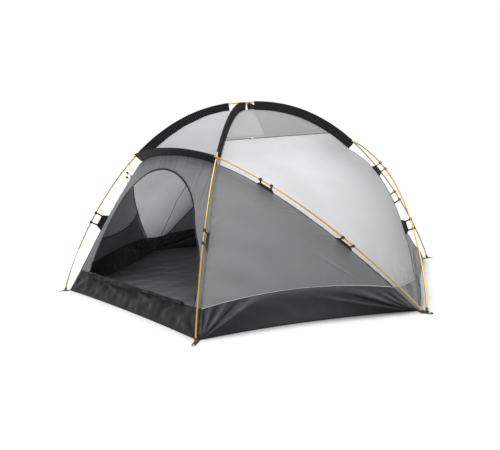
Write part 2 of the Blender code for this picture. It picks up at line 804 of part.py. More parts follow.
def sleeve_section(pole, seam, side):
    """Outer and inner outline of a sleeve at one station."""
    down = (seam - pole).normalized()
    reach = (seam - pole).length - SLEEVE_LIFT
    round_r = BORE_R + SLEEVE_WALL
    half = SLEEVE_FOOT / 2
    waist = (half + round_r * SLEEVE_SWELL) / 2
    outer = [(reach, half), (reach * SLEEVE_WAIST, waist)]
    for degrees in range(60, 301, 40):
        angle = math.radians(degrees)
        outer.append((round_r * math.cos(angle), round_r * math.sin(angle)))
    outer += [(reach * SLEEVE_WAIST, -waist), (reach, -half)]
    inner = []
    for i in range(BORE_FACETS):
        angle = 2 * math.pi * (i + 0.5) / BORE_FACETS
        inner.append((BORE_R * math.cos(angle), BORE_R * math.sin(angle)))
    return [[pole + down * d + side * b for d, b in loop] for loop in (outer, inner)]


def add_sleeve(name, poles, seams, start, end, side):
    """Sleeve of cloth sewn on a seam, with the pole running through it."""
    stops = [start] + [s for s in range(math.ceil(start + 0.05), math.floor(end - 0.05) + 1)] + [end]
    bm = bmesh.new()
    sections = []
    for s in stops:
        loops = sleeve_section(on_line(poles, s), on_line(seams, s), side)
        sections.append([[bm.verts.new(p) for p in loop] for loop in loops])
    for here, there in zip(sections, sections[1:]):
        for loop, after in zip(here, there):
            count = len(loop)
            for i in range(count):
                bm.faces.new((loop[i], loop[(i + 1) % count], after[(i + 1) % count], after[i]))
    for outer, inner in (sections[0], sections[-1]):
        edges = []
        for loop in (outer, inner):
            edges += [bm.edges.get((a, b)) for a, b in zip(loop, loop[1:] + loop[:1])]
        bmesh.ops.triangle_fill(bm, use_beauty=True, use_dissolve=False, edges=edges)
    bmesh.ops.recalc_face_normals(bm, faces=bm.faces)
    add_object(name, mesh_from(bm, name), "sleeve_cloth")


def make_sleeves():
    """Sleeves over the roof, four on the diagonals and one on each arch."""
    first = SLEEVE_START / (ROOF_S[0] - ROOF_S[1])
    legs = (
        ("front_left", -1, -1, False, POLE_BARE_FRONT_LEFT),
        ("front_right", 1, -1, True, POLE_BARE_FRONT_RIGHT),
        ("back_left", -1, 1, True, POLE_BARE_BACK_LEFT),
        ("back_right", 1, 1, False, POLE_BARE_BACK_RIGHT),
    )
    for name, sx, sy, under, bare in legs:
        poles = mirrored([diagonal_pole_point(r, under) for r in ROOF_S], sx, sy)
        seams = mirrored(ROOF_SEAM, sx, sy)
        side = mirrored([DIAGONAL_NORMAL], sx, sy)[0]
        last = ROOF_STEPS - bare / (ROOF_S[-2] - ROOF_S[-1])
        add_sleeve(f"{name}_diagonal_sleeve", poles, seams, first, last, side)
    first = SLEEVE_START / (TOP_S[1] - TOP_S[0])
    for name, sy in (("front", -1), ("back", 1)):
        poles = mirrored([arch_pole_point(x) for x in TOP_S], 1, sy)
        seams = mirrored(TOP_SEAM, 1, sy)
        side = mirrored([ARCH_NORMAL], 1, sy)[0]
        add_sleeve(f"{name}_arch_sleeve", poles, seams, first, ACROSS - first, side)


# Clip tabs


def prism(outline, depth):
    """Closed solid between an outline and its copy, moved by a vector."""
    bm = bmesh.new()
    face = bm.faces.new([bm.verts.new(p) for p in outline])
    pushed = bmesh.ops.extrude_face_region(bm, geom=[face])
    far = [v for v in pushed["geom"] if isinstance(v, bmesh.types.BMVert)]
    bmesh.ops.translate(bm, vec=depth, verts=far)
    bmesh.ops.recalc_face_normals(bm, faces=bm.faces)
    return bm


def clip_solid(pole, along, down, side):
    """Snap clip round the pole, open on one side."""
    ring = []
    for k in range(CLIP_STEPS + 1):
        angle = math.pi / 2 + CLIP_MOUTH / 2 + (2 * math.pi - CLIP_MOUTH) * k / CLIP_STEPS
        ring.append(down * math.cos(angle) + side * math.sin(angle))
    outer = [pole + d * (BORE_R + CLIP_WALL) for d in ring]
    inner = [pole + d * BORE_R for d in ring]
    outline = [p - along * CLIP_LENGTH / 2 for p in outer + inner[::-1]]
    return prism(outline, along * CLIP_LENGTH)


def add_tab(name, poles, seams, s, side):
    """Web of doubled cloth sewn on the seam, with two snap clips on the pole."""
    step = (on_line(poles, s + 0.5) - on_line(poles, s - 0.5)).length
    along = (on_line(poles, s + 0.1) - on_line(poles, s - 0.1)).normalized()
    spots = [s - CLIP_SPREAD / 2 / step, s + CLIP_SPREAD / 2 / step]
    half_base = TAB_BASE / 2 / step
    base = []
    for k in range(5):
        t = s - half_base + half_base * k / 2
        seam = on_line(seams, t)
        base.append(seam + (on_line(poles, t) - seam).normalized() * (SLEEVE_LIFT + TAB_CLOTH / 4))
    ears = []
    solids = []
    for t in spots:
        pole = on_line(poles, t)
        down = (on_line(seams, t) - pole).normalized()
        down = (down - along * down.dot(along)).normalized()
        across = down.cross(along)
        tip = pole + down * (BORE_R + CLIP_WALL / 2)
        ears.append((tip - along * TAB_EAR / 2, tip + along * TAB_EAR / 2))
        solids.append(clip_solid(pole, along, down, across))
    middle = on_line(poles, s)
    hollow = middle.lerp(on_line(seams, s), TAB_DIP)
    outline = base + [ears[1][1], ears[1][0], hollow, ears[0][1], ears[0][0]]
    web = prism([p - side * TAB_CLOTH / 2 for p in outline], side * TAB_CLOTH)
    item = add_object(name, mesh_from(web, name), "webbing")
    for k, solid in enumerate(solids):
        add_boolean(item, "UNION", add_cutter(f"{name}_clip_{k}", solid))
    apply_modifiers(item)


def station_of(values, value):
    """Station number at which a falling list of parameters reaches a value."""
    for i, (a, b) in enumerate(zip(values, values[1:])):
        if b <= value <= a:
            return i + (a - value) / (a - b)
    return len(values) / 2


def make_tabs():
    """One tab on each leg and two on each limb of the arches."""
    for end, sy in (("front", -1), ("back", 1)):
        for name, sx in (("left", -1), ("right", 1)):
            under = sx == -sy
            poles = mirrored([diagonal_pole_point(r, under) for r in LEG_S], sx, sy)
            seams = mirrored(LEG_SEAM, sx, sy)
            side = mirrored([DIAGONAL_NORMAL], sx, sy)[0]
            add_tab(f"{end}_{name}_leg_tab", poles, seams, station_of(LEG_S, LEG_TAB_R), side)
            poles = mirrored([arch_pole_point(x) for x in LIMB_S], sx, sy)
            seams = mirrored(LIMB_SEAM, sx, sy)
            side = mirrored([ARCH_NORMAL], sx, sy)[0]
            for label, x in zip(("upper", "lower"), LIMB_TAB_X):
                add_tab(f"{end}_{name}_{label}_limb_tab", poles, seams, station_of(LIMB_S, x), side)


# Corner straps


def rod(start, along, radius, length, facets=16):
    """Plain round solid from a start point along a direction."""
    bm = bmesh.new()
    bmesh.ops.create_cone(
        bm, cap_ends=True, segments=facets, radius1=radius, radius2=radius, depth=length
    )
    turn = along.to_track_quat("Z", "Y").to_matrix().to_4x4()
    place = Matrix.Translation(start + along * length / 2) @ turn
    bmesh.ops.transform(bm, matrix=place, verts=bm.verts)
    return bm


def tub_reach(inner, along):
    """How far the tub comes out past a floor corner, at the height of the strap."""
    tub = bpy.data.objects["tub_floor"].data
    low = [v.co - inner for v in tub.vertices if v.co.z < 2 * STRAP_THICKNESS]
    return max(p.dot(along) for p in low if p.length < 10 * CLOTH)


def strap_plate(inner, tip, width):
    """Flat strap on the ground from the floor corner out past the pole, with a round end."""
    along = Vector((tip.x - inner.x, tip.y - inner.y, 0)).normalized()
    across = Vector((-along.y, along.x, 0))
    start = Vector((inner.x, inner.y, 0)) + along * (tub_reach(inner, along) + FIT)
    end = Vector((tip.x, tip.y, 0)) + along * (STRAP_REACH - width / 2)
    outline = [start + across * width / 2, start - across * width / 2]
    for k in range(9):
        angle = -math.pi / 2 + math.pi * k / 8
        outline.append(end + (along * math.cos(angle) + across * math.sin(angle)) * width / 2)
    return prism(outline, UP * STRAP_THICKNESS), end


def add_strap(name, inner, feet, width):
    """Corner strap with a socket for each pole that ends there, and a peg eye."""
    middle = sum((foot for foot, _ in feet), Vector()) / len(feet)
    plate, end = strap_plate(inner, middle, width)
    item = add_object(name, mesh_from(plate, name), "webbing")
    for k, (foot, following) in enumerate(feet):
        along = (following - foot).normalized()
        low = foot - along * SOCKET_D
        high = SOCKET_HEIGHT + SOCKET_D
        add_boolean(item, "UNION", add_cutter(f"{name}_socket_{k}", rod(low, along, SOCKET_D / 2, high)))
        bore = rod(socket_floor(foot, along), along, BORE_R, SOCKET_HEIGHT * 2, BORE_FACETS)
        add_boolean(item, "DIFFERENCE", add_cutter(f"{name}_bore_{k}", bore))
    eye = rod(end - UP * EYE_D / 2, UP, EYE_D / 2, EYE_D)
    add_boolean(item, "DIFFERENCE", add_cutter(f"{name}_eye", eye))
    ground = bmesh.new()
    below = Matrix.Translation((middle.x, middle.y, -GROUND_CUT / 2))
    bmesh.ops.create_cube(ground, size=GROUND_CUT, matrix=below)
    add_boolean(item, "DIFFERENCE", add_cutter(f"{name}_ground", ground))
    apply_modifiers(item)


def make_straps():
    """Six corner straps."""
    for end, sy in (("front", -1), ("back", 1)):
        for name, sx in (("left", -1), ("right", 1)):
            points = leg_points(sx, sy, False)
            corner = mirrored([CORNER], sx, sy)[0]
            add_strap(f"{end}_{name}_corner_strap", corner, [(points[0], points[1])], STRAP_WIDTH)
    wide = 2 * SIDE_SPREAD + SOCKET_D
    for name, sx in (("left", -1), ("right", 1)):
        feet = []
        for sy in (-1, 1):
            points = mirrored([arch_pole_point(x) for x in LIMB_S[:2]], sx, sy)
            feet.append((points[0], points[1]))
        add_strap(f"{name}_corner_strap", mirrored([SIDE], sx, -1)[0], feet, wide)


# Zip sliders


def frame_at(point, along, out):
    """Placement with X across, Y along and Z out of the cloth."""
    out = (out - along * out.dot(along)).normalized()
    across = along.cross(out)
    turn = Matrix((across, along, out)).transposed().to_4x4()
    return Matrix.Translation(point) @ turn


def block(size, middle, bevel=0.0):
    """Box with softened edges."""
    bm = bmesh.new()
    place = Matrix.Translation(middle) @ Matrix.Diagonal((*size, 1))
    bmesh.ops.create_cube(bm, size=1.0, matrix=place)
    if bevel:
        bmesh.ops.bevel(bm, geom=bm.edges[:], offset=bevel, segments=1, affect="EDGES")
    return bm


def bridge_solid():
    """Arch over the slider's face that carries the pull."""
    width, length, high = BRIDGE
    half = length / 2
    sunk = -SLIDER[2] / 4
    inner = half - BRIDGE_WALL
    profile = [(-half, sunk), (-half, high - BRIDGE_WALL / 2), (-half + BRIDGE_WALL / 2, high)]
    profile += [(-y, z) for y, z in profile[::-1]]
    profile += [(inner, sunk), (inner, high - BRIDGE_WALL), (-inner, high - BRIDGE_WALL), (-inner, sunk)]
    outline = [Vector((-width / 2, y, SLIDER[2] + z)) for y, z in profile]
    return prism(outline, Vector((width, 0, 0)))


def add_slider(name, place):
    """Zip slider: a body with the bridge that carries its pull."""
    body = block(SLIDER, (0, 0, SLIDER[2] / 2), SLIDER[2] / 5)
    item = add_object(name, mesh_from(body, name), "black_plastic")
    add_boolean(item, "UNION", add_cutter(f"{name}_bridge", bridge_solid()))
    apply_modifiers(item)
    item.matrix_world = place


def add_pull(name, place):
    """Pull tab whose bar runs under the slider's bridge; it hangs along the zip."""
    width, length, thick = PULL
    tip = width / 4
    outline = [(-width / 2, PULL_BAR / 2), (-width / 2, tip - length), (tip - width / 2, -length)]
    outline += [(-x, y) for x, y in outline[::-1]]
    plate = prism([Vector((x, y, -thick / 2)) for x, y in outline], Vector((0, 0, thick)))
    item = add_object(name, mesh_from(plate, name), "black_plastic")
    clear = math.hypot(BRIDGE[1] / 2, BRIDGE[2] - PULL_AXIS) + PULL_PLAY
    hole = (BRIDGE[0] + 2 * PULL_PLAY, clear - PULL_BAR / 2, 2 * thick)
    window = block(hole, (0, -(clear + PULL_BAR / 2) / 2, 0))
    add_boolean(item, "DIFFERENCE", add_cutter(f"{name}_window", window))
    apply_modifiers(item)
    item.matrix_world = place @ Matrix.Translation((0, 0, SLIDER[2] + PULL_AXIS))


def add_toggle(name, place):
    """Slider of a vent with its short moulded grip."""
    body = block(SLIDER, (0, 0, SLIDER[2] / 2), SLIDER[2] / 5)
    item = add_object(name, mesh_from(body, name), "white_plastic")
    grip = block(TOGGLE, (0, -TOGGLE[1] / 4, SLIDER[2] + TOGGLE[2] / 4), TOGGLE[2] / 5)
    add_boolean(item, "UNION", add_cutter(f"{name}_grip", grip))
    apply_modifiers(item)
    item.matrix_world = place


def outer_skin():
    """Search tree of the front wall and its zip."""
    bm = bmesh.new()
    for name in ("front_wall", "front_zip_track"):
        bm.from_mesh(bpy.data.objects[name].data)
    tree = BVHTree.FromBMesh(bm)
    bm.free()
    return tree


def track_height(tree, place, run):
    """Highest spot of the cloth over a placement's plane, along the run of a slider."""
    width, length, _ = SLIDER
    out = place.to_3x3() @ UP
    start = 10 * length
    highest = -start
    for k in range(RUN_SAMPLES):
        for x, y in ((-width, -length), (width, -length), (width, length), (-width, length)):
            spot = place @ Vector((x / 2, y / 2 + run * k / (RUN_SAMPLES - 1), start))
            _, _, _, distance = tree.ray_cast(spot, -out)
            if distance is not None:
                highest = max(highest, start - distance)
    return highest


def track_frame(tree, run, right, turn):
    """Placement of a slider at the low end of its run beside the door."""
    spots = []
    outline = door_outline(ZIP_WIDTH / 2)[1:-1]
    outline = outline if right else outline[::-1]
    for z in run:
        for (x0, z0), (x1, z1) in zip(outline, outline[1:]):
            if z0 <= z <= z1:
                x = x0 + (x1 - x0) * (z - z0) / (z1 - z0)
                break
        hit, normal, _, _ = tree.ray_cast(Vector((x, -2 * FOOT_Y, z)), Vector((0, 1, 0)))
        spots.append((hit, normal))
    along = (spots[1][0] - spots[0][0]).normalized()
    out = (spots[0][1] + spots[1][1]).normalized()
    if out.y > 0:
        out = -out
    place = frame_at(spots[0][0], along, out)
    lift = track_height(tree, place, (spots[1][0] - spots[0][0]).length) + SLIDER_LIFT
    place = place @ Matrix.Translation((0, 0, lift))
    if turn:
        place = Matrix.Rotation(math.pi, 4, "Z") @ place
    return place


def make_sliders():
    """Sliders with their pulls on the door zips, and the sliders of the vents."""
    tree = outer_skin()
    places = (
        ("front_right", SLIDER_RIGHT_Z, True, False),
        ("front_left", SLIDER_LEFT_Z, False, False),
        ("back", SLIDER_RIGHT_Z, True, True),
    )
    for name, run, right, turn in places:
        place = track_frame(tree, run, right, turn)
        add_slider(f"{name}_zip_slider", place)
        add_pull(f"{name}_zip_pull", place)
    for name, sx in (("right", 1), ("left", -1)):
        low, high = (row[0] for row in VENT_STRIP)
        middle = (low + high) / 2
        change = to_quarter(sx, -1)
        along = Vector((0, 1, 0))
        up = high - low
        out = Vector((up.z, 0, -up.x)).normalized()
        spot = Vector((middle.x, -VENT_SLIDER_Y, middle.z)) + out * (CLOTH + SLIDER_LIFT)
        out = Vector((out.x * sx, 0, out.z))
        place = frame_at(change(spot), along, out)
        add_toggle(f"{name}_vent_slider", place)


# Inner pieces


def sub_rows(rows, columns, levels):
    """Part of a grid between two columns and two rows."""
    return [row[columns[0] : columns[1] + 1] for row in rows[levels[0] : levels[1] + 1]]


def add_lining(name, rows, kind, thickness):
    """Soft piece that lies flat against the inside of a panel."""
    item = add_object(name, cloth_surface(rows, name, SEAM_GAP), kind)
    shift = FIT + thickness
    for vert in item.data.vertices:
        vert.co -= vert.normal * shift
    thicken(item, thickness)


def make_inner_pieces():
    """Pockets inside two lower panels and the gathered flaps of the vents."""
    pocket = sub_rows(LOWER, POCKET_COLUMNS, POCKET_ROWS)
    add_lining("front_left_pocket", moved_rows(pocket, to_quarter(-1, -1)), "mesh_net", CLOTH)
    add_lining("back_right_pocket", moved_rows(pocket, to_quarter(1, 1)), "mesh_net", CLOTH)
    flap = sub_rows(VENT, FLAP_COLUMNS, (0, 1))
    add_lining("right_vent_flap", moved_rows(flap, to_quarter(1, -1)), "grey_cloth", FLAP_THICKNESS)
    add_lining("left_vent_flap", moved_rows(flap, to_quarter(-1, 1)), "grey_cloth", FLAP_THICKNESS)


make_tub()
make_roof_and_sides()
make_door_walls()
make_rolled_door()
make_poles()
make_sleeves()
make_tabs()
make_straps()
make_sliders()
make_inner_pieces()
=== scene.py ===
"""Looks of a dome tent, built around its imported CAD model.

Metres, +Z up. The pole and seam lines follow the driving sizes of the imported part, so each fine piece
lies in the space of the CAD solid that it stands for.
"""

import enum
import logging
import math
from collections.abc import Callable, Sequence
from dataclasses import dataclass, field
from functools import cached_property, partial
from itertools import product

import bmesh
import bpy
import numpy as np
from mathutils import Matrix, Vector
from mathutils.bvhtree import BVHTree


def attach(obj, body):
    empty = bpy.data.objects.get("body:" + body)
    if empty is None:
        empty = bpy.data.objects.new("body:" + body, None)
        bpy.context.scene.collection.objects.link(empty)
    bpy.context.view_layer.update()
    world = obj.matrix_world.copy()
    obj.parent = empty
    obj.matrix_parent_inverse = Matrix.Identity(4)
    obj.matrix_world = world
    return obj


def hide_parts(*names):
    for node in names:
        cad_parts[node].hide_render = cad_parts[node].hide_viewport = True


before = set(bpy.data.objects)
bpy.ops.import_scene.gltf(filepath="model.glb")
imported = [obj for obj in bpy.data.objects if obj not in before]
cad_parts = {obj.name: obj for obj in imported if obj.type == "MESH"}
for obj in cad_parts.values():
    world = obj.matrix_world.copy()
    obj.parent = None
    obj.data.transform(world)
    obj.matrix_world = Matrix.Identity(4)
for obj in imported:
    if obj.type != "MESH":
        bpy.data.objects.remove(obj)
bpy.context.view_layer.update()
LOG = logging.getLogger("tent")
Array = np.ndarray
Object = bpy.types.Object
Curve = Callable[[Array], Array]
UP = np.array((0.0, 0.0, 1.0))
INSIDE = np.array((0.0, 0.0, 0.325))  # every outer face looks away from here
ENDS = (("front", -1), ("back", 1))
SIDES = (("left", -1), ("right", 1))
LINE_WAVES = 5  # sines summed for noise along a line
PLANE_WAVES = 9  # sines summed for noise over a plane
LEAST_FILL = 0.31  # least share of its flat size that a sheet's area is declared with


def unit(vectors: Array) -> Array:
    """Scale vectors to length one.

    Args:
        vectors: Vectors along the last axis.

    Returns:
        The same directions with length one.
    """
    return vectors / np.maximum(np.linalg.norm(vectors, axis=-1, keepdims=True), 1e-12)


def lengths_along(points: Array) -> Array:
    """Distance of each point of a line from its first point.

    Args:
        points: The line, one point a row.

    Returns:
        Running length, starting at zero.
    """
    steps = np.linalg.norm(np.diff(points, axis=0), axis=-1)
    return np.concatenate((np.zeros((1, *steps.shape[1:])), np.cumsum(steps, axis=0)))


def resampled(points: Array, share: Array) -> Array:
    """Points of a line at shares of its length.

    Args:
        points: The line, one point a row.
        share: Shares from 0 to 1.

    Returns:
        One point for each share.
    """
    run = lengths_along(points)
    return np.stack([np.interp(share * run[-1], run, points[:, k]) for k in range(points.shape[1])], axis=1)


def by_length(curve: Curve, start: float, end: float, share: Array) -> Array:
    """Parameters that cut a curve at shares of its length.

    Args:
        curve: Curve of one parameter.
        start: Parameter where the stretch starts.
        end: Parameter where it ends.
        share: Shares of the length, from 0 to 1.

    Returns:
        One parameter for each share.
    """
    values = np.linspace(start, end, 401)
    run = lengths_along(curve(values))
    return np.interp(share * run[-1], run, values)


def even(steps: int) -> Array:
    """Shares from 0 to 1 in even steps."""
    return np.linspace(0, 1, steps + 1)


def wander(x: Array, seed: int) -> Array:
    """Smooth noise along a line, from about -1 to 1, with a wave length near one.

    Args:
        x: Places along the line, in wave lengths.
        seed: Seed of the noise.

    Returns:
        Noise at each place.
    """
    draw = np.random.default_rng(seed)
    total = np.zeros_like(x)
    for _ in range(LINE_WAVES):
        total = total + np.sin(2 * math.pi * (x * draw.uniform(0.5, 1.6) + draw.uniform()))
    return total / math.sqrt(LINE_WAVES)


def ruffle(x: Array, y: Array, seed: int) -> Array:
    """Smooth noise over a plane, from about -1 to 1, with a wave length near one.

    Args:
        x: First coordinate, in wave lengths.
        y: Second coordinate, in wave lengths.
        seed: Seed of the noise.

    Returns:
        Noise at each place.
    """
    draw = np.random.default_rng(seed)
    total = np.zeros_like(x)
    for _ in range(PLANE_WAVES):
        angle = draw.uniform(0, math.pi)
        size = draw.uniform(0.5, 1.5)
        way = x * math.cos(angle) + y * math.sin(angle)
        total = total + np.sin(2 * math.pi * (size * way + draw.uniform()))
    return total / math.sqrt(PLANE_WAVES)


def bump(x: Array, middle: float, width: float) -> Array:
    """Smooth hump, 1 at its middle.

    Args:
        x: Places.
        middle: Place of the top.
        width: Distance from the top to where the hump has nearly faded.

    Returns:
        Height of the hump at each place.
    """
    return np.exp(-(((x - middle) / width) ** 2))


def soft_step(x: Array, edge: Array | float, width: float) -> Array:
    """Smooth rise from 0 to 1.

    Args:
        x: Places.
        edge: Where the rise is half done.
        width: How slowly it goes.

    Returns:
        Height of the step at each place.
    """
    return 1 / (1 + np.exp((edge - x) / width))


@dataclass(frozen=True)
class PoleFrame:
    """Centre lines of the four bowed poles, in the +X -Y quarter."""

    height: float = 1.30
    foot_x: float = 0.79
    foot_y: float = 1.18
    side_x: float = 1.465
    side_spread: float = 0.012
    cross_r: float = 0.835
    diagonal_powers: tuple[float, float] = (2.23, 1.155)
    arch_powers: tuple[float, float] = (2.36, 1.09)
    pole_d: float = 0.0095
    cross_gap: float = 0.0008
    cross_ease: float = 0.12
    fit: float = 0.0003

    @cached_property
    def foot_r(self) -> float:
        """Reach of a diagonal pole's foot."""
        return math.hypot(self.foot_x, self.foot_y)

    @staticmethod
    def bow(share: Array, powers: tuple[float, float]) -> Array:
        """Height of a bowed pole, from 0 to 1, at a share of its half span."""
        return np.maximum(0.0, 1 - np.abs(share) ** powers[0]) ** (1 / powers[1])

    def diagonal(self, r: Array) -> Array:
        """Points of a diagonal pole.

        Args:
            r: Reaches from the middle.

        Returns:
            One point for each reach.
        """
        share = np.asarray(r, float) / self.foot_r
        rise = self.height * self.bow(share, self.diagonal_powers)
        return np.stack((self.foot_x * share, -self.foot_y * share, rise), axis=-1)

    @cached_property
    def cross(self) -> Array:
        """Point where an arch pole crosses a diagonal one."""
        return self.diagonal(np.array(self.cross_r))

    @cached_property
    def lean(self) -> float:
        """Lean of an arch pole's plane from level."""
        return math.atan2(self.cross[2], -self.cross[1] - self.side_spread)

    @cached_property
    def rise(self) -> float:
        """Height of an arch pole in its own plane."""
        reach = math.hypot(self.cross[2], -self.cross[1] - self.side_spread)
        return reach / float(self.bow(self.cross[0] / self.side_x, self.arch_powers))

    def arch(self, x: Array) -> Array:
        """Points of the front arch pole.

        Args:
            x: Reaches to the right.

        Returns:
            One point for each reach.
        """
        x = np.asarray(x, float)
        rise = self.rise * self.bow(x / self.side_x, self.arch_powers)
        away = -self.side_spread - rise * math.cos(self.lean)
        return np.stack((x, away, rise * math.sin(self.lean)), axis=-1)

    @cached_property
    def arch_normal(self) -> Array:
        """Direction square to an arch pole's plane."""
        return np.array((0.0, math.sin(self.lean), math.cos(self.lean)))

    @cached_property
    def diagonal_normal(self) -> Array:
        """Direction square to a diagonal pole's plane."""
        return np.array((self.foot_y, self.foot_x, 0.0)) / self.foot_r

    def inward(self, curve: Curve, values: Array, normal: Array) -> Array:
        """Directions from a pole into the tent, in the pole's plane.

        Args:
            curve: The pole's curve.
            values: Its parameters.
            normal: Direction square to its plane.

        Returns:
            One direction for each parameter.
        """
        step = 0.0005
        values = np.asarray(values, float)
        along = curve(values - 2 * step) - curve(values - step)
        side = unit(np.cross(normal, along))
        sign = np.sign(np.sum(side * (INSIDE - curve(values)), axis=-1, keepdims=True))
        return side * sign

    @cached_property
    def lift(self) -> Array:
        """Direction in which an arch pole passes over a diagonal one.

        Returns:
            Direction of length one, upwards.
        """
        step = 0.001
        ways = []
        for curve, value in ((self.diagonal, self.cross_r), (self.arch, self.cross[0])):
            ways.append(curve(np.array(value + step)) - curve(np.array(value - step)))
        lift = unit(np.cross(ways[0], ways[1]))
        return lift if lift[2] > 0 else -lift

    def diagonal_pole(self, r: Array, under: bool) -> Array:
        """Centre of a diagonal pole; the one that passes under dips at the top.

        Args:
            r: Reaches from the middle.
            under: True for the pole that passes under.

        Returns:
            One point for each reach.
        """
        points = self.diagonal(r)
        if under:
            dip = (self.pole_d + self.cross_gap) * bump(np.asarray(r, float), 0.0, self.cross_ease)
            points = points - dip[..., None] * UP
        return points

    def arch_pole(self, x: Array) -> Array:
        """Centre of the front arch pole, eased out over both diagonals.

        Args:
            x: Reaches to the right.

        Returns:
            One point for each reach.
        """
        x = np.asarray(x, float)
        lift = np.stack((self.lift[0] * np.sign(x), 0 * x + self.lift[1], 0 * x + self.lift[2]), axis=-1)
        ease = bump(np.abs(x), self.cross[0], self.cross_ease)
        return self.arch(x) + lift * ((self.pole_d + self.cross_gap) * ease)[..., None]

    def mark(self, curve: Curve, start: float, end: float, z: float) -> float:
        """Parameter where a curve that falls outwards passes a height."""
        values = np.linspace(end, start, 4001)
        return float(np.interp(z, curve(values)[:, 2], values))


def bowed(start: Array, end: Array, share: Array, bow_in: float, rise: float) -> Array:
    """Line between two points, drawn in towards the middle and lifted at its centre.

    Args:
        start: First point.
        end: Last point.
        share: Shares of the way, from 0 to 1.
        bow_in: How far the centre is drawn in.
        rise: How far the centre is lifted.

    Returns:
        One point for each share.
    """
    along = end - start
    side = unit(np.array((-along[1], along[0], 0.0)))
    if side @ (-start - along / 2) < 0:
        side = -side
    arc = (4 * share * (1 - share))[:, None]
    return start + along * share[:, None] + side * bow_in * arc + UP * rise * arc


def coons(bottom: Array, top: Array, left: Array, right: Array) -> Array:
    """Soft surface spanned between four edges.

    Args:
        bottom: Lower edge, left to right.
        top: Upper edge, left to right.
        left: Left edge, from the bottom up.
        right: Right edge, from the bottom up.

    Returns:
        Rows of points from the bottom up.
    """
    u = np.linspace(0, 1, len(bottom))[None, :, None]
    v = np.linspace(0, 1, len(left))[:, None, None]
    low = bottom[0] * (1 - u) + bottom[-1] * u
    high = top[0] * (1 - u) + top[-1] * u
    edges = bottom[None] * (1 - v) + top[None] * v + left[:, None] * (1 - u) + right[:, None] * u
    return edges - low * (1 - v) - high * v


def to_quarter(points: Array, sx: int, sy: int) -> Array:
    """Points of the +X -Y quarter carried to another quarter."""
    return points * np.array((sx, -sy, 1.0))


